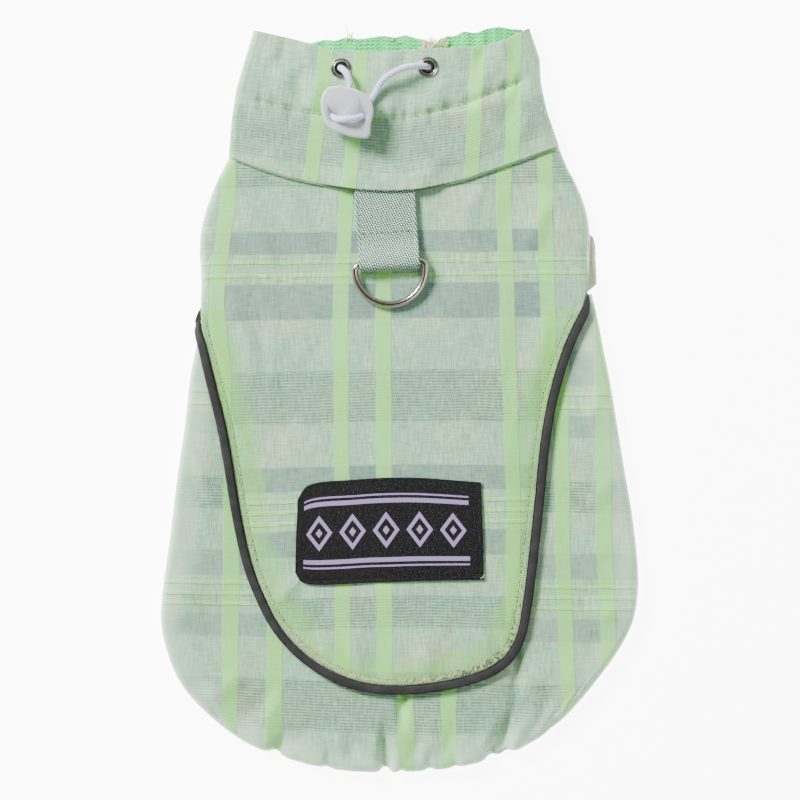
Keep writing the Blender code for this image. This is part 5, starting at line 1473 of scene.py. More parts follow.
def collar_height(x, y):
    """Height of the visible collar's outer face over the back."""
    seam = seam_line(121, 0.0)
    above = y - np.interp(x, seam[:, 0], seam[:, 1])
    share = (x - seam[0, 0]) / (seam[-1, 0] - seam[0, 0])
    flat = 1.0
    for eye_x, eye_y in EYELETS.values():
        flat = flat * eased((np.hypot(x - eye_x, y - eye_y) - 5.0) / 4.0)
    from_stitch = above - CASING_SEAM_UP - CASING_SEAM_RISE * share
    wave = np.sin(2.0 * math.pi * (RUFFLES * share + 0.6 * np.sin(13.0 * share)))
    ruffle = RUFFLE_HEIGHT * wave * np.exp(-(from_stitch / RUFFLE_REACH) ** 2)
    groove = -CASING_GROOVE * np.exp(-(from_stitch / CASING_GROOVE_WIDTH) ** 2)
    fine = creases(COLLAR_CREASES, x, y) + ruffle + groove
    side = np.minimum(x + 66.0, 60.0 - x)
    return collar_front(x, y) + fine * flat * eased(side / 7.0) * eased((above - 1.5) / 5.0)


def make_collar(settings, finish):
    """The visible collar: a flattened tube with a puckered casing and two holes."""
    around = COLLAR_COARSE * COLLAR_FINER

    def on_collar(u, v):
        index = (np.round(u * COLLAR_COARSE, 5)) % COLLAR_COARSE
        down = 1.0 - v
        left, right = column(COLLAR_SIDES, down, 1), column(COLLAR_SIDES, down, 2)
        radius = COLLAR_RADIUS + (COLLAR_SEAM_RADIUS - COLLAR_RADIUS) * eased((down - 0.8) / 0.2)
        front = index <= COLLAR_ACROSS
        turn = (index - COLLAR_ACROSS) / COLLAR_TURN_STEPS
        on_right = (turn > 0.0) & (turn < 1.0)
        under = (index >= COLLAR_ACROSS + COLLAR_TURN_STEPS)
        under &= index <= COLLAR_ACROSS + COLLAR_TURN_STEPS + COLLAR_UNDER
        last = (index - COLLAR_ACROSS - COLLAR_TURN_STEPS - COLLAR_UNDER) / COLLAR_TURN_STEPS
        low_left, low_right = left + radius, right - radius
        back_share = (index - COLLAR_ACROSS - COLLAR_TURN_STEPS) / COLLAR_UNDER
        angle = np.where(on_right, math.pi / 2.0 - math.pi * turn, math.pi / 2.0 + math.pi * (1.0 - last))
        x = np.where(front, low_left + (low_right - low_left) * index / COLLAR_ACROSS,
                     np.where(under, low_right + (low_left - low_right) * back_share,
                              np.where(on_right, low_right, low_left) + radius * np.cos(angle)))
        share = np.clip((x - left) / (right - left), 0.0, 1.0)
        front_y = column(COLLAR_FRONT_TOP, share) * (1.0 - down) + column(COLLAR_SEAM, share) * down
        under_y = column(COLLAR_UNDER_TOP, share) * (1.0 - down) + column(COLLAR_SEAM, share) * down
        y = np.where(under, under_y, front_y)
        high = collar_height(x, y)
        near = eased((np.minimum(x - low_left, low_right - x)) / 8.0)
        level = 2.0 * radius * (1.0 - near) + high * near
        height = np.where(front, level, np.where(under, 0.0, radius + radius * np.sin(angle)))
        return np.column_stack((x, y, height))

    mesh, points = placed_grid(around, COLLAR_DOWN, on_collar)
    where = plan_of(mesh)
    index = (np.round(points[:, 0] * COLLAR_COARSE, 5)) % COLLAR_COARSE
    reach = math.pi * COLLAR_RADIUS
    turn_right = np.clip((index - COLLAR_ACROSS) / COLLAR_TURN_STEPS, 0.0, 1.0)
    turn_left = np.clip((index - COLLAR_COARSE + COLLAR_TURN_STEPS) / COLLAR_TURN_STEPS, 0.0, 1.0)
    under = (index >= COLLAR_ACROSS + COLLAR_TURN_STEPS) & (index <= COLLAR_COARSE - COLLAR_TURN_STEPS)
    middle = -3.0
    unrolled = np.where(index <= COLLAR_ACROSS, where[:, 0], np.where(
        under, np.where(where[:, 0] > middle, 57.0 + reach + (57.0 - where[:, 0]),
                        -64.0 - reach - (where[:, 0] + 64.0)),
        np.where(index < COLLAR_COARSE / 2 + COLLAR_ACROSS / 2, 57.0 + reach * turn_right,
                 -64.0 - reach * (1.0 - turn_left))))
    flat_x, flat_y = (mesh.verts.layers.float.new(name) for name in ("flat_x", "flat_y"))
    for vertex, far, spot in zip(mesh.verts, unrolled, where):
        vertex[flat_x], vertex[flat_y] = far, spot[1]
    bmesh.ops.remove_doubles(mesh, verts=mesh.verts, dist=1e-4)
    for eye_x, eye_y in EYELETS.values():
        hole = [face for face in mesh.faces if face.calc_center_median().z > 4.0
                and math.hypot(face.calc_center_median().x - eye_x,
                               face.calc_center_median().y - eye_y) < EYELET_BARREL + 0.1]
        bmesh.ops.delete(mesh, geom=hole, context="FACES")
    bmesh.ops.recalc_face_normals(mesh, faces=mesh.faces)
    flat = np.array([(vertex[flat_x], vertex[flat_y]) for vertex in mesh.verts])
    uvs = {"cloth": body_uv(flat, COLLAR_STRIPES, COLLAR_STRIPE_PLACES, COLLAR_BANDS, COLLAR_BAND_PLACES)}
    piece = new_object("collar_cloth", mesh, finish, uvs, settings.cloth_wall / MM)
    dress(piece, "collar")


def make_lining(finish):
    """The knitted mesh lining inside the neck, with ribs that run down."""
    top = smooth_curve(LINING_TOP, 241)
    base = WALL + SEAM_GAP

    def place(u, v):
        spot = along(top, u)
        y = spot[:, 1] - LINING_DEPTH * (1.0 - v)
        rib = 0.22 * np.abs(np.sin(math.pi * spot[:, 0] / 2.2))
        loops = 0.10 * np.sin(2.0 * math.pi * y / 1.5)
        gathers = 0.55 * np.abs(np.sin(spot[:, 0] / 3.1 + 0.9 * np.sin(spot[:, 0] / 5.3))) ** 1.5
        ragged = 0.45 * np.sin(spot[:, 0] / 1.9 + np.sin(spot[:, 0] / 4.1)) * v
        return np.column_stack((spot[:, 0], y + ragged, base + LINING_WALL - 0.25 + rib + loops + gathers))

    mesh, _ = placed_grid(360, 60, place)
    uvs = {"knit": plan_of(mesh)[:, :2] * MM}
    piece = new_object("collar_mesh_lining", mesh, finish, uvs, 0.45)
    dress(piece, "collar_lining")


def turned(profile, steps):
    """Turn a closed profile of (radius, height) pairs about the vertical axis."""
    mesh = bmesh.new()
    points = [mesh.verts.new((radius, 0.0, height)) for radius, height in profile]
    edges = [mesh.edges.new((points[index - 1], points[index])) for index in range(len(points))]
    bmesh.ops.spin(mesh, geom=points + edges, cent=(0.0, 0.0, 0.0), axis=(0.0, 0.0, 1.0),
                   angle=2.0 * math.pi, steps=steps, use_merge=True)
    bmesh.ops.remove_doubles(mesh, verts=mesh.verts, dist=1e-4)
    bmesh.ops.recalc_face_normals(mesh, faces=mesh.faces)
    return mesh


def eyelet_profile():
    """Section of an eyelet: a rolled outer flange, a groove and a bright rolled inner lip."""
    over = CASING_HEIGHT + 0.08
    under = CASING_HEIGHT - WALL - SEAM_GAP
    profile = [(EYELET_HOLE, under - 0.4), (4.1, under - 0.4), (4.1, under), (EYELET_BARREL, under),
               (EYELET_BARREL, over), (EYELET_OUTER, over)]
    for step in range(7):
        turn = math.pi * (0.1 + 0.8 * step / 6)
        profile.append((3.93 + 0.32 * math.cos(turn), over + 0.12 + 0.42 * math.sin(turn)))
    profile.append((3.52, over + 0.20))
    for step in range(9):
        turn = math.pi * (0.1 + 0.9 * step / 8)
        profile.append((3.06 + 0.34 * math.cos(turn), over + 0.32 + 0.52 * math.sin(turn)))
    profile.append((EYELET_HOLE - 0.03, over - 0.4))
    return profile


def make_eyelet(side, finish):
    """One metal eyelet in the casing."""
    x, y = EYELETS[side]
    mesh = turned(eyelet_profile(), 72)
    bmesh.ops.translate(mesh, vec=(x, y, 0.0), verts=mesh.verts)
    piece = new_object(f"eyelet_ring_{side}", mesh, finish)
    dress(piece, f"eyelet_{side}")


# ---------------------------------------------------------------- trim pieces
def webbing_point(sideways, up):
    """Plan position on the webbing: sideways and up from the ring's bar."""
    bar_x, bar_y = WEBBING_BAR
    turn_cos, turn_sin = math.cos(WEBBING_TURN), math.sin(WEBBING_TURN)
    return bar_x + sideways * turn_cos - up * turn_sin, bar_y + sideways * turn_sin + up * turn_cos


def solid_cape_height(x, y):
    """Height of the solid cape's outer face, without the finer creases."""
    return over_back(np.asarray(x, float), np.asarray(y, float), LAYER)


def bar_height():
    """Height of the ring's bar inside the webbing."""
    return float(solid_cape_height(*WEBBING_BAR)) + LAYER_GAP + WEBBING_WALL + RING_BAR_ROOM


def webbing_route():
    """The webbing's run, from its lower end to its upper: up from the bar, and lift over the cape."""
    base = float(solid_cape_height(*WEBBING_BAR))
    turn_radius = RING_BAR_ROOM + WEBBING_WALL / 2.0
    low_lift = LAYER_GAP + WEBBING_WALL / 2.0
    high_lift = low_lift + WEBBING_WALL + SEAM_GAP
    low = [(up, low_lift) for up in np.linspace(WEBBING_TOP, 3.0, 30)]
    middle = bar_height() - base
    angles = np.linspace(0.0, math.pi, 28)
    turn = [(-turn_radius * math.sin(angle), middle - turn_radius * math.cos(angle)) for angle in angles]
    drop = middle + turn_radius - high_lift
    sloping = np.linspace(1.0, WEBBING_STITCH, 16)
    high = [(up, high_lift + drop * (1.0 - float(eased(up / WEBBING_STITCH)))) for up in sloping]
    high += [(up, high_lift) for up in np.linspace(WEBBING_STITCH + 1.0, WEBBING_TOP, 30)]
    return np.array(low + turn + high)


def webbing_height(up, lift, x, y):
    """Height of a point on the webbing's middle surface."""
    base = float(solid_cape_height(*WEBBING_BAR))
    near_bar = 1.0 - eased((up - 3.0) / 6.0)
    return lift + base * near_bar + solid_cape_height(x, y) * (1.0 - near_bar)


def make_webbing(finish):
    """The doubled webbing, folded round the ring's bar and sewn flat above it."""
    route = webbing_route()
    run = run_along(route)

    def place(u, v):
        up, lift = route[np.rint(v * (len(route) - 1)).astype(int)].T
        sideways = (u - 0.5) * WEBBING_WIDTH
        x, y = webbing_point(sideways, up)
        edge = WEBBING_WIDTH / 2.0 - np.abs(sideways)
        outward = np.where(v > 0.5, 1.0, -1.0)
        selvedge = 0.10 * np.exp(-((edge - 0.7) / 0.5) ** 2) - 0.10 * np.exp(-((edge - 1.7) / 0.35) ** 2)
        return np.column_stack((x, y, webbing_height(up, lift, x, y) + outward * selvedge))

    mesh, points = placed_grid(88, len(route) - 1, place)
    bmesh.ops.reverse_faces(mesh, faces=mesh.faces)
    travelled = run[np.rint(points[:, 1] * (len(route) - 1)).astype(int)]
    uvs = {"strap": np.column_stack(((points[:, 0] - 0.5) * WEBBING_WIDTH, travelled)) * MM}
    piece = new_object("webbing_strap", mesh, finish, uvs, WEBBING_WALL, offset=0.0, soft_rim=0.25)
    dress(piece, "webbing_loop")


def ring_outline():
    """The ring's wire in its own plane: the bar lies along x, the bow hangs to -y."""
    reach = RING_HALF_WIDTH - RING_CORNER
    points = [(share * reach, 0.0) for share in np.linspace(-0.9, 0.9, 13)]
    for turn in np.linspace(math.pi / 2.0, 0.0, 12):
        points.append((reach + RING_CORNER * math.cos(turn), RING_CORNER * (math.sin(turn) - 1.0)))
    for turn in np.linspace(0.0, -math.pi, 74)[1:-1]:
        points.append((RING_HALF_WIDTH * math.cos(turn), RING_HALF_WIDTH * math.sin(turn) - RING_CORNER))
    for turn in np.linspace(math.pi, math.pi / 2.0, 12):
        points.append((-reach + RING_CORNER * math.cos(turn), RING_CORNER * (math.sin(turn) - 1.0)))
    return np.array(points)


def make_ring(finish):
    """The leash ring, its bar in the webbing and its bow lying on the cape."""
    outline = ring_outline()
    reach = RING_HALF_WIDTH + RING_CORNER
    lowest = float(solid_cape_height(*webbing_point(0.0, -reach))) + LAYER_GAP + RING_WIRE / 2.0
    drop = bar_height() - lowest
    slope = math.asin(drop / reach)
    x, y = webbing_point(outline[:, 0], outline[:, 1] * math.cos(slope))
    path = np.column_stack((x, y, bar_height() + outline[:, 1] * math.sin(slope)))
    up = np.array(webbing_point(0.0, 1.0)) - np.array(WEBBING_BAR)
    normal = np.array((-up[0] * math.sin(slope), -up[1] * math.sin(slope), math.cos(slope)))
    across = np.cross(unit(np.roll(path, -1, axis=0) - np.roll(path, 1, axis=0)), normal)
    steps, sides = len(path), 24

    def place(u, v):
        index = np.rint(u * steps).astype(int) % steps
        turn = round_turn(v, sides)
        out = across[index] * np.cos(turn)[:, None] + normal * np.sin(turn)[:, None]
        return path[index] + out * RING_WIRE / 2.0

    piece = new_object("leash_ring_wire", placed_tube(steps, sides, place, closed=True), finish)
    dress(piece, "d_ring", "leash_ring")


CORD_FRAME_HINT = (0.31, 0.22, 0.93)    # no stretch of the cord runs this way
BRAID_PITCH = 2.6                       # along the cord, from one crossing of a yarn to its next
BRAID_YARNS = 6.0                       # yarns in each direction
BRAID_RELIEF = 0.07


def make_drawcord(settings, finish):
    """The braided elastic cord, out of one eyelet, through the lock and into the other."""
    steps, sides = 340, 40
    path = smooth_curve(CORD_ROUTE, steps + 1)
    tangents = unit(np.gradient(path, axis=0))
    side = [np.cross(tangents[0], CORD_FRAME_HINT)]
    for tangent in tangents[1:]:
        side.append(side[-1] - tangent * side[-1].dot(tangent))
    side = unit(np.array(side))
    other = np.cross(tangents, side)
    run = run_along(path)
    radius = settings.cord_diameter / MM / 2.0

    def place(u, v):
        index = np.rint(u * steps).astype(int)
        turn = round_turn(v, sides)
        first = np.sin(2.0 * math.pi * run[index] / BRAID_PITCH + BRAID_YARNS * turn)
        second = np.sin(2.0 * math.pi * run[index] / BRAID_PITCH - BRAID_YARNS * turn)
        size = radius - 0.05 + BRAID_RELIEF * np.maximum(first, second)
        out = side[index] * np.cos(turn)[:, None] + other[index] * np.sin(turn)[:, None]
        return path[index] + out * size[:, None]

    mesh, points = placed_grid(steps, sides, place)
    along_run = mesh.verts.layers.float.new("run")
    turned_by = mesh.verts.layers.float.new("turn")
    for vertex, (u, v) in zip(mesh.verts, points):
        vertex[along_run] = run[int(round(u * steps))]
        vertex[turned_by] = 2.0 * math.pi * (int(round(v * sides)) % sides) / sides
    bmesh.ops.remove_doubles(mesh, verts=mesh.verts, dist=1e-5)
    ends = [edge for edge in mesh.edges if len(edge.link_faces) == 1]
    bmesh.ops.holes_fill(mesh, edges=ends, sides=0)
    bmesh.ops.recalc_face_normals(mesh, faces=mesh.faces)
    uvs = {"braid": np.array([(vertex[along_run], vertex[turned_by]) for vertex in mesh.verts]) * MM}
    piece = new_object("drawcord_braid", mesh, finish, uvs)
    dress(piece, "drawcord")
    return piece, path


def make_lock(finish):
    """The soft lock: a tab with rounded edges and the cord's two ways through it."""
    outline = smooth_curve(LOCK_EDGE_LINE + LOCK_EDGE_LINE[:1], 97)[:-1]
    mesh = bmesh.new()
    face = mesh.faces.new([mesh.verts.new((x, y, LOCK_BASE)) for x, y in outline])
    grown = bmesh.ops.extrude_face_region(mesh, geom=[face])["geom"]
    raised = [item for item in grown if isinstance(item, bmesh.types.BMVert)]
    bmesh.ops.translate(mesh, vec=(0.0, 0.0, LOCK_WALL), verts=raised)
    bmesh.ops.recalc_face_normals(mesh, faces=mesh.faces)
    rims = [edge for edge in mesh.edges if abs(edge.verts[0].co.z - edge.verts[1].co.z) < 0.01]
    bmesh.ops.bevel(mesh, geom=rims, offset=LOCK_EDGE, offset_type="OFFSET", affect="EDGES",
                    segments=6, profile=0.5, material=-1)
    piece = new_object("cord_lock_tab", mesh, finish)
    piece.data.set_sharp_from_angle(angle=math.radians(50.0))
    steps, sides = 240, 24
    path = smooth_curve(CORD_ROUTE, steps + 1)
    tangents = unit(np.gradient(path, axis=0))
    side = unit(np.cross(tangents, CORD_FRAME_HINT))
    other = np.cross(tangents, side)
    room = CORD_WIDTH / 2.0 + CORD_ROOM - 0.15

    def place(u, v):
        index = np.rint(u * steps).astype(int)
        turn = round_turn(v, sides)
        out = side[index] * np.cos(turn)[:, None] + other[index] * np.sin(turn)[:, None]
        return path[index] + out * room

    cutter = new_object("cord_way", placed_tube(steps, sides, place), finish)
    hole = piece.modifiers.new("Cord way", "BOOLEAN")
    hole.operation = "DIFFERENCE"
    hole.object = cutter
    bpy.context.view_layer.objects.active = piece
    bpy.ops.object.modifier_apply(modifier=hole.name)
    bpy.data.objects.remove(cutter, do_unlink=True)
    dress(piece, "cord_lock")
    return piece


LABEL_SIZE = (76.0, 41.0)


def make_label(finish):
    """The woven label, one layer above the cape."""
    left = smooth_curve(LABEL_LEFT[::-1], 61)
    right = smooth_curve(LABEL_RIGHT[::-1], 61)
    bottom = smooth_curve(LABEL_BOTTOM, 121)
    top = smooth_curve(LABEL_TOP, 121)

    def place(u, v):
        plan = coons(u, v, left, right, bottom, top)
        depth = np.minimum(np.minimum(u, 1.0 - u) * LABEL_SIZE[0], np.minimum(v, 1.0 - v) * 40.0)
        height = over_back(plan[:, 0], plan[:, 1], LAYER + LAYER_GAP + LABEL_WALL)
        sag = 0.14 * np.sin(plan[:, 0] / 7.0 + plan[:, 1] / 17.0) * eased(depth / 6.0)
        sag = sag + np.maximum(creases(CAPE_CREASES, plan[:, 0], plan[:, 1]) - 0.25, 0.0)
        stitched = -0.16 * np.exp(-((depth - 1.7) / 0.5) ** 2)
        return np.column_stack((plan, height + sag + stitched))

    mesh, points = placed_grid(130, 76, place)
    uvs = {"label": (points - 0.5) * LABEL_SIZE * MM}
    piece = new_object("woven_label", mesh, finish, uvs, 0.6, soft_rim=0.18)
    dress(piece, "label")


# ---------------------------------------------------------------- stitching and loose ends
def offset_line(curve, distance):
    """A plan line beside another, to the left of its travel."""
    return curve + left_of(curve) * distance


def cape_topstitch(finish, hole_finish):
    """The run of stitches inside the piping, and the needle holes at their ends."""
    piping = smooth_curve(PIPING_LINE, 801)[14:-14]
    line = offset_line(piping, PIPING_WIDTH / 2.0 + SEAM_GAP + TOPSTITCH_IN)
    runs = stitches(line, 3.9, 3.1, lambda x, y: cape_height(x, y, 0.02), 0.13)
    sew("cape_topstitch", runs, 0.20, finish)
    holes = []
    for before, after in zip(runs, runs[1:]):
        middle = (before[-1] + after[0]) / 2.0
        middle[2] = float(cape_height(middle[0], middle[1])) + 0.03
        step = (after[0] - before[-1]) * 0.30
        holes.append(np.array((middle - step, middle, middle + step)))
    sew("cape_needle_holes", holes, 0.32, hole_finish)


def casing_stitch(finish):
    """The stitching of the casing, sunk in its puckers."""
    line = casing_line(np.linspace(0.035, 0.925, 400))
    runs = stitches(line, 2.5, 1.85, lambda x, y: collar_height(x, y) + 0.08, 0.16)
    sew("casing_stitch", runs, 0.27, finish)
    seam = seam_line(400, 0.0) + np.array((0.0, 1.4))
    neck_runs = stitches(seam[18:120], 3.4, 1.5, lambda x, y: collar_height(x, y) + 0.02, 0.12)
    sew("neck_seam_stitch", neck_runs, 0.17, finish)


def neck_shadow_roll(finish):
    """The turned edge of the seam allowance under the collar, coloured as painted shade so that it shows as
    the collar's thin shadow line.
    """
    seam = seam_line(240, -0.35)[5:-5]
    height = over_back(seam[:, 0], np.minimum(seam[:, 1], LIE[-1][0]), LAYER) + 0.75
    sew("neck_seam_shadow_roll", [np.column_stack((seam, height))], 0.42, finish)


def webbing_stitch(finish):
    """The stitched line across the webbing above the ring."""
    high_lift = LAYER_GAP + WEBBING_WALL / 2.0 + WEBBING_WALL + SEAM_GAP
    sideways = np.linspace(-WEBBING_WIDTH / 2.0 + 1.6, WEBBING_WIDTH / 2.0 - 1.2, 60)
    x, y = webbing_point(sideways, WEBBING_STITCH + 2.8)
    line = np.column_stack((x, y))

    def height(px, py):
        up = np.full(np.shape(px), WEBBING_STITCH + 2.8)
        return webbing_height(up, high_lift, px, py) + WEBBING_WALL / 2.0 + 0.02

    sew("webbing_stitch", stitches(line, 2.6, 2.0, height, 0.12), 0.18, finish)


def hem_stitch(finish):
    """The elastic casing's stitching, seen from below."""
    inward = left_of(BACK_CURVE)
    share = np.linspace(HEM_START + 0.01, HEM_END - 0.01, 400)
    line = along(BACK_CURVE, share) + along(inward, share) * (HEM_TURN - 2.2)
    runs = stitches(line, 3.4, 2.4, lambda x, y: 0.02 + 0.0 * x, -0.10)
    sew("hem_stitch", runs, 0.16, finish)


def fibres(seed, roots, headings, low, high, lift, curl, height):
    """Loose curved fibres: roots and headings in plan, heights from a surface."""
    draw = np.random.default_rng(seed)
    runs = []
    for root, heading in zip(roots, headings):
        length = draw.uniform(low, high)
        turn = math.atan2(heading[1], heading[0]) + draw.normal(0.0, 0.5)
        bend = draw.normal(0.0, curl)
        share = np.linspace(0.0, 1.0, 5)
        angle = turn + bend * share
        x = root[0] + length * np.concatenate(((0.0,), np.cumsum(np.cos(angle[1:])) / 4.0))
        y = root[1] + length * np.concatenate(((0.0,), np.cumsum(np.sin(angle[1:])) / 4.0))
        rise = lift * draw.uniform(0.4, 1.0) * np.sin(math.pi * share * draw.uniform(0.5, 1.0))
        runs.append(np.column_stack((x, y, height(x, y) + rise)))
    return runs


def seam_fray(cream, grey):
    """The frayed seam allowance between the piping and its topstitching."""
    piping = smooth_curve(PIPING_LINE, 1201)[40:-40]
    inward = left_of(piping)
    draw = np.random.default_rng(11)
    for name, count, middle, reach, finish in (("seam_fray_cream", 640, 0.47, 0.15, cream),
                                               ("seam_fray_grey", 260, 0.585, 0.045, grey)):
        picks = np.clip(draw.normal(middle, reach, count), 0.02, 0.98)
        picks = (picks * len(piping)).astype(int)
        depth = PIPING_WIDTH / 2.0 + SEAM_GAP + draw.uniform(0.35, 2.1, count)
        roots = piping[picks] + inward[picks] * depth[:, None]
        runs = fibres(draw.integers(1, 9999), roots, inward[picks], 0.7, 2.1, 0.16, 1.2,
                      lambda x, y: cape_height(x, y, 0.06))
        sew(name, runs, 0.10, finish)


def hem_fray(cream):
    """Fine pale fluff along the hem's left part."""
    draw = np.random.default_rng(23)
    inward = left_of(BACK_CURVE)
    edge = [index for index, (x, y) in enumerate(BACK_CURVE) if -82.0 < x < -22.0 and y < -112.0]
    picks = draw.choice(edge, 90)
    jitter = draw.uniform(0.0, 1.0, (90, 1))
    roots = BACK_CURVE[picks] + (BACK_CURVE[picks + 1] - BACK_CURVE[picks]) * jitter + inward[picks] * 0.9
    runs = fibres(29, roots, -inward[picks], 0.8, 2.2, 0.25, 1.6, lambda x, y: 2.0 + 0.0 * x)
    sew("hem_fray", runs, 0.06, cream)


NECK_TUFTS = ((12.6, 146.0, 17), (15.4, 145.0, 19), (18.2, 145.6, 15), (-20.8, 148.4, 12), (-3.6, 146.8, 8))


def neck_fray(cream):
    """Cut ends of the neck tape that show over the collar's front edge."""
    draw = np.random.default_rng(31)
    runs = []
    for x, y, count in NECK_TUFTS:
        roots = np.column_stack((draw.normal(x, 1.3, count), draw.normal(y, 0.5, count)))
        headings = np.column_stack((draw.normal(0.0, 1.0, count), np.full(count, 0.8)))
        runs += fibres(int(draw.integers(1, 9999)), roots, headings, 1.4, 3.4, 0.6, 1.4,
                       lambda px, py: 2.5 + 0.0 * px)
    sew("neck_fray", runs, 0.16, cream)


def label_fray(finish):
    """Thread ends at the label's lower left corner."""
    roots = [(-41.4, -72.6), (-41.9, -71.6), (33.0, -72.8)]
    runs = fibres(41, roots, [(-0.6, -1.0), (-1.0, -0.4), (1.0, -0.7)], 1.6, 2.8, 0.3, 1.5,
                  lambda x, y: over_back(x, y, LAYER + LAYER_GAP + LABEL_WALL) + 0.05)
    sew("label_thread_end", runs, 0.12, finish)


# ---------------------------------------------------------------- settings
def colour_setting(name, description, red, green, blue):
    """A colour that a user can change, given as linear light."""
    return FloatVectorProperty(name=name, description=description, subtype="COLOR", size=3,
                               min=0.0, max=1.0, default=(red, green, blue))


class DogTopCloth(bpy.types.PropertyGroup):
    """Sizes and colours of the checked cloth."""

    cloth_wall: FloatProperty(name="Cloth thickness", description="Voile and its lining together",
                              default=CLOTH_WALL * MM, min=0.0002, max=0.0009, unit="LENGTH", precision=4)
    plain_colour: colour_setting("Plain", "Ground of the check", 0.290, 0.515, 0.320)
    band_colour: colour_setting("Cross band", "Tinted bands across the cloth", 0.135, 0.225, 0.200)
    stripe_colour: colour_setting("Satin stripe", "Long satin stripes", 0.285, 0.720, 0.175)
    line_colour: colour_setting("Cross line", "Slubby lines across the cloth", 0.330, 0.800, 0.170)
    open_colour: colour_setting("Open weave", "What shows between open threads", 0.079, 0.196, 0.099)
    blush_colour: colour_setting("Blush", "Warm tint of some cells", 0.500, 0.550, 0.340)
    facing_colour: colour_setting("Facing", "Green facing behind the cape's edge", 0.230, 0.620, 0.110)
    fray_colour: colour_setting("Fray", "Pale cut threads", 0.700, 0.800, 0.420)
    fray_dark_colour: colour_setting("Fray shade", "Between the cut threads", 0.200, 0.330, 0.165)
    # Painted shade: the colour of the thin shadow line under the collar's edge.
    seam_shadow_colour: colour_setting("Seam shadow line", "Edge of the neck's seam allowance", 0.215, 0.430, 0.195)
    pale_colour: colour_setting("Doubled cloth", "Voile over its turned-under edge", 0.560, 0.800, 0.560)
    band_amount: FloatProperty(name="Back's bands",
                               description="Strength of the tinted bands on the back panel",
                               default=0.55, min=0.0, max=1.0, subtype="FACTOR")
    blush_amount: FloatProperty(name="Blush amount", description="Strength of the warm tint", default=0.5,
                                min=0.0, max=1.0, subtype="FACTOR")


class DogTopTrim(bpy.types.PropertyGroup):
    """Sizes and colours of the trim."""

    cord_diameter: FloatProperty(name="Cord diameter", description="Thickness of the drawcord",
                                 default=CORD_WIDTH * MM, min=0.0015, max=0.004, unit="LENGTH", precision=4)
    piping_colour: colour_setting("Piping", "Reflective tape", 0.025, 0.024, 0.025)
    piping_light_colour: colour_setting("Piping light",
                                        "Reflective tape where it catches light", 0.034, 0.033, 0.034)
    webbing_light_colour: colour_setting("Webbing", "Pale yarn of the webbing", 0.620, 0.930, 0.700)
    webbing_dark_colour: colour_setting("Webbing shade", "Dark yarn of the webbing", 0.026, 0.056, 0.037)
    thread_colour: colour_setting("Thread", "Sewing thread", 0.250, 0.550, 0.100)
    webbing_thread_colour: colour_setting("Webbing thread",
                                          "Thread of the webbing's seam", 0.076, 0.209, 0.109)
    cord_colour: colour_setting("Cord", "Braided elastic", 0.760, 0.760, 0.950)
    # Painted shade in the hollows between the cord's yarns.
    cord_hollow_shade_colour: colour_setting("Cord shade", "Between the cord's yarns", 0.360, 0.360, 0.600)
    lock_colour: colour_setting("Lock", "Milky cord lock", 0.800, 0.800, 0.830)
    lock_edge_colour: colour_setting("Lock shade", "Cloudy parts of the lock", 0.560, 0.585, 0.600)
    mesh_colour: colour_setting("Mesh", "Knitted neck lining", 0.035, 0.900, 0.220)
    # Painted shade in the knit's holes.
    mesh_hole_shade_colour: colour_setting("Mesh shade", "Holes of the knitted lining", 0.045, 0.230, 0.100)
    tape_colour: colour_setting("Neck tape", "Cut end of the tape inside the neck", 0.620, 0.560, 0.360)
    # Painted shade of the lining inside the casing.
    casing_shade_colour: colour_setting("Casing shade", "Cloth inside the casing", 0.115, 0.235, 0.155)
    metal_colour: colour_setting("Nickel", "Ring and eyelets", 0.560, 0.470, 0.410)
    metal_dark_colour: colour_setting("Nickel shade", "Rubbed nickel", 0.260, 0.190, 0.150)
    label_colour: colour_setting("Label", "Label ground", 0.005, 0.005, 0.005)
    label_fleck_colour: colour_setting("Label fleck", "Pale flecks of the label's twill", 0.085, 0.085, 0.095)
    motif_colour: colour_setting("Motif", "Woven motif", 0.315, 0.243, 0.448)
    motif_dark_colour: colour_setting("Motif shade", "Fine lines of the woven motif", 0.139, 0.113, 0.189)
    cream_colour: colour_setting("Cream binding", "Right armhole's binding", 0.980, 0.930, 0.740)
    cream_dark_colour: colour_setting("Cream binding shade",
                                      "Right armhole's binding, shade", 0.800, 0.720, 0.540)
    green_colour: colour_setting("Green binding", "Left armhole's binding", 0.247, 0.828, 0.132)
    green_dark_colour: colour_setting("Green binding shade",
                                      "Left armhole's binding, shade", 0.119, 0.428, 0.084)


class DogTopStage(bpy.types.PropertyGroup):
    """Camera, lights and floor."""

    view_width: FloatProperty(name="View width", description="Width of the surface that the camera sees",
                              default=0.328, min=0.2, max=1.0, unit="LENGTH", precision=3)
    camera_height: FloatProperty(name="Camera height", description="Height of the camera over the surface",
                                 default=1.30, min=0.5, max=3.0, unit="LENGTH", precision=2)
    key_power: FloatProperty(name="Key light", description="Power of the large soft light", default=80.0,
                             min=0.0, max=200.0, unit="POWER")
    fill_power: FloatProperty(name="Fill light", description="Power of the fill light", default=8.0,
                              min=0.0, max=200.0, unit="POWER")
    sky: FloatProperty(name="Surroundings", description="Strength of the pale surroundings", default=0.55,
                       min=0.0, max=3.0)
    floor_colour: colour_setting("Floor", "Pale floor", 0.93, 0.93, 0.93)
    floor_glow: FloatProperty(name="Floor glow", description="Light that the white floor gives off",
                              default=8.0, min=0.0, max=20.0)
    floor_size: IntProperty(name="Floor size", description="Width of the floor in metres", default=4,
                            min=1, max=20)


# ---------------------------------------------------------------- operators
def cloth_settings():
    """The cloth's settings in use."""
    return bpy.context.scene.dog_top_cloth


def trim_settings():
    """The trim's settings in use."""
    return bpy.context.scene.dog_top_trim


MADE = {}


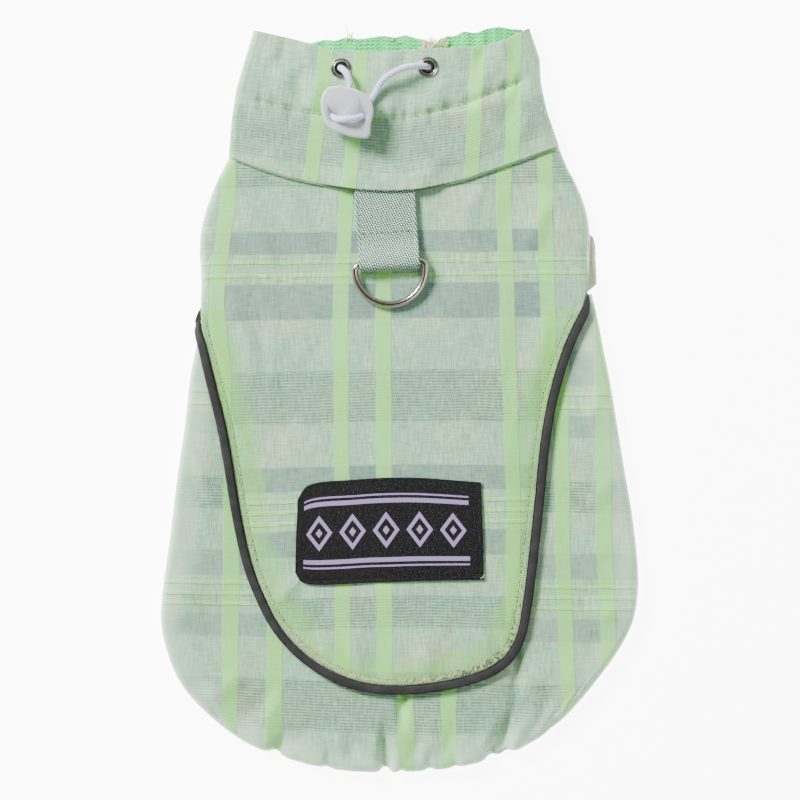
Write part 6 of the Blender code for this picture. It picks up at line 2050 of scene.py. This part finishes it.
def finish_for(name):
    """A finish by name, built once from the settings."""
    if name not in MADE:
        cloth, trim = cloth_settings(), trim_settings()
        makers = {
            "cloth": lambda: cloth_finish("checked cloth", cloth, opened=0.6),
            "back": lambda: cloth_finish("checked cloth with turned edge", cloth, hem_map=True,
                                         bands=cloth.band_amount),
            "cape": lambda: cloth_finish("checked cloth with facing", cloth, edge_map=True),
            "piping": lambda: piping_finish(trim),
            "webbing": lambda: webbing_finish(trim),
            "thread": lambda: thread_finish("lime thread", trim.thread_colour),
            "webbing thread": lambda: thread_finish("sage thread", trim.webbing_thread_colour),
            "seam": lambda: thread_finish("seam shadow line", cloth.seam_shadow_colour),
            "needle hole": lambda: plain_finish("needle holes", (0.012, 0.024, 0.014), 0.9),
            "cream thread": lambda: thread_finish("cream threads", cloth.fray_colour),
            "grey thread": lambda: thread_finish("grey threads", (0.07, 0.09, 0.06)),
            "white thread": lambda: thread_finish("white thread", (0.9, 0.9, 0.95)),
            "metal": lambda: metal_finish("nickel plate", trim.metal_colour, trim.metal_dark_colour),
            "cord": lambda: cord_finish(trim),
            "silicone": lambda: silicone_finish(trim),
            "mesh": lambda: mesh_finish(trim),
            "label": lambda: label_finish(trim),
            "cream": lambda: woven_finish("cream binding", trim.cream_colour, trim.cream_dark_colour,
                                          0.8, 0.85),
            "green": lambda: woven_finish("green binding", trim.green_colour, trim.green_dark_colour,
                                          0.8, 0.85),
        }
        MADE[name] = makers[name]()
    return MADE[name]


class DOGTOP_OT_stage(bpy.types.Operator):
    """Place the camera, the lights and the pale floor"""

    bl_idname = "dogtop.stage"
    bl_label = "Stage"

    def execute(self, context):
        settings = context.scene.dog_top_stage
        lens = bpy.data.cameras.new("Camera")
        lens.sensor_width = 36.0
        lens.lens = lens.sensor_width * settings.camera_height / settings.view_width
        camera = bpy.data.objects.new("Camera", lens)
        camera.location = (0.0002, 0.0, settings.camera_height)
        context.scene.collection.objects.link(camera)
        context.scene.camera = camera
        for name, place, size, power in (
                ("Key light", (-1.0, 0.9, 0.95), 0.5, settings.key_power),
                ("Fill light", (0.9, -0.5, 1.2), 1.2, settings.fill_power)):
            lamp = bpy.data.lights.new(name, "AREA")
            lamp.size = size
            lamp.energy = power
            holder = bpy.data.objects.new(name, lamp)
            holder.location = place
            holder.rotation_euler = (-Vector(place)).to_track_quat("-Z", "Y").to_euler()
            context.scene.collection.objects.link(holder)
        world = bpy.data.worlds.new("Surroundings")
        world.use_nodes = True
        sky = world.node_tree.nodes["Background"]
        sky.inputs["Strength"].default_value = settings.sky
        n = Nodes(world.node_tree)
        up = n.split(n.add("ShaderNodeTexCoord").outputs["Generated"])[2]
        n.put(sky.inputs["Color"], n.mix(n.rise(up, 0.70, 0.95), (0.97, 0.98, 1.0), (0.10, 0.09, 0.08)))
        context.scene.world = world
        mesh = bmesh.new()
        bmesh.ops.create_grid(mesh, x_segments=2, y_segments=2, size=settings.floor_size / 2.0 / MM)
        bmesh.ops.translate(mesh, vec=(0.0, 0.0, -0.3), verts=mesh.verts)
        white = plain_finish("pale floor", settings.floor_colour, 0.9, 0.004)
        glow = white.node_tree.nodes["Principled BSDF"]
        glow.inputs["Emission Color"].default_value = (1.0, 1.0, 1.0, 1.0)
        glow.inputs["Emission Strength"].default_value = settings.floor_glow
        floor = new_object("floor", mesh, white)
        return {"FINISHED"}


class DOGTOP_OT_drawcord(bpy.types.Operator):
    """Make the braided drawcord and its soft lock"""

    bl_idname = "dogtop.drawcord"
    bl_label = "Drawcord and lock"

    def execute(self, context):
        trim = trim_settings()
        cord, path = make_drawcord(trim, finish_for("cord"))
        lock = make_lock(finish_for("silicone"))
        return {"FINISHED"}


class DOGTOP_OT_back_panel(bpy.types.Operator):
    """Make the back panel, the belly panel and the bound armholes"""

    bl_idname = "dogtop.back_panel"
    bl_label = "Body panels"

    def execute(self, context):
        cloth = cloth_settings()
        make_back_panel(cloth, finish_for("back"))
        make_belly_panel(finish_for("cloth"))
        make_binding("armhole_binding_left_cloth", "armhole_binding_left", BINDING_LEFT, 1.0,
                     finish_for("green"))
        make_binding("armhole_binding_right_cloth", "armhole_binding_right", BINDING_RIGHT, -1.0,
                     finish_for("cream"))
        return {"FINISHED"}


class DOGTOP_OT_cape(bpy.types.Operator):
    """Make the cape and its reflective piping"""

    bl_idname = "dogtop.cape"
    bl_label = "Cape and piping"

    def execute(self, context):
        make_cape(cloth_settings(), finish_for("cape"))
        make_piping(finish_for("piping"))
        return {"FINISHED"}


class DOGTOP_OT_collar(bpy.types.Operator):
    """Make the stand-up collar, its mesh lining and its eyelets"""

    bl_idname = "dogtop.collar"
    bl_label = "Collar"

    def execute(self, context):
        make_collar(cloth_settings(), finish_for("cloth"))
        make_lining(finish_for("mesh"))
        for side in EYELETS:
            make_eyelet(side, finish_for("metal"))
        return {"FINISHED"}


class DOGTOP_OT_ring(bpy.types.Operator):
    """Make the webbing and the leash ring that hangs in it"""

    bl_idname = "dogtop.ring"
    bl_label = "Webbing and ring"

    def execute(self, context):
        make_webbing(finish_for("webbing"))
        make_ring(finish_for("metal"))
        return {"FINISHED"}


class DOGTOP_OT_label(bpy.types.Operator):
    """Make the woven label"""

    bl_idname = "dogtop.label"
    bl_label = "Label"

    def execute(self, context):
        make_label(finish_for("label"))
        label_fray(finish_for("white thread"))
        return {"FINISHED"}


class DOGTOP_OT_stitching(bpy.types.Operator):
    """Sew: topstitching, casing, webbing and hem"""

    bl_idname = "dogtop.stitching"
    bl_label = "Stitching"

    def execute(self, context):
        cape_topstitch(finish_for("thread"), finish_for("needle hole"))
        casing_stitch(finish_for("thread"))
        neck_shadow_roll(finish_for("seam"))
        webbing_stitch(finish_for("webbing thread"))
        hem_stitch(finish_for("thread"))
        return {"FINISHED"}


class DOGTOP_OT_fray(bpy.types.Operator):
    """Scatter the cut thread ends along the raw seams"""

    bl_idname = "dogtop.fray"
    bl_label = "Cut threads"

    def execute(self, context):
        seam_fray(finish_for("cream thread"), finish_for("grey thread"))
        hem_fray(finish_for("cream thread"))
        neck_fray(finish_for("cream thread"))
        return {"FINISHED"}


STEPS = (DOGTOP_OT_stage, DOGTOP_OT_drawcord, DOGTOP_OT_back_panel, DOGTOP_OT_cape, DOGTOP_OT_collar,
         DOGTOP_OT_ring, DOGTOP_OT_label, DOGTOP_OT_stitching, DOGTOP_OT_fray)


class DOGTOP_PT_panel(bpy.types.Panel):
    """The dog top's settings and steps in the 3D view's sidebar"""

    bl_idname = "DOGTOP_PT_panel"
    bl_label = "Dog top"
    bl_space_type = "VIEW_3D"
    bl_region_type = "UI"
    bl_category = "Dog top"

    def draw(self, context):
        for group in (context.scene.dog_top_cloth, context.scene.dog_top_trim, context.scene.dog_top_stage):
            box = self.layout.box()
            for key in group.bl_rna.properties.keys():
                if key not in ("rna_type", "name"):
                    box.prop(group, key)
        for step in STEPS:
            self.layout.operator(step.bl_idname)


SETTINGS = {"dog_top_cloth": DogTopCloth, "dog_top_trim": DogTopTrim, "dog_top_stage": DogTopStage}


def register():
    """Register the settings, the steps and the panel."""
    for group in SETTINGS.values():
        bpy.utils.register_class(group)
    for key, group in SETTINGS.items():
        setattr(bpy.types.Scene, key, PointerProperty(type=group))
    for step in (*STEPS, DOGTOP_PT_panel):
        bpy.utils.register_class(step)


def unregister():
    """Take them out again."""
    for step in reversed((*STEPS, DOGTOP_PT_panel)):
        bpy.utils.unregister_class(step)
    for key, group in SETTINGS.items():
        delattr(bpy.types.Scene, key)
        bpy.utils.unregister_class(group)


def main():
    """Build the whole top, step by step."""
    register()
    for step in STEPS:
        group, action = step.bl_idname.split(".")
        getattr(getattr(bpy.ops, group), action)()
    bpy.context.view_layer.update()


if __name__ == "__main__":
    main()
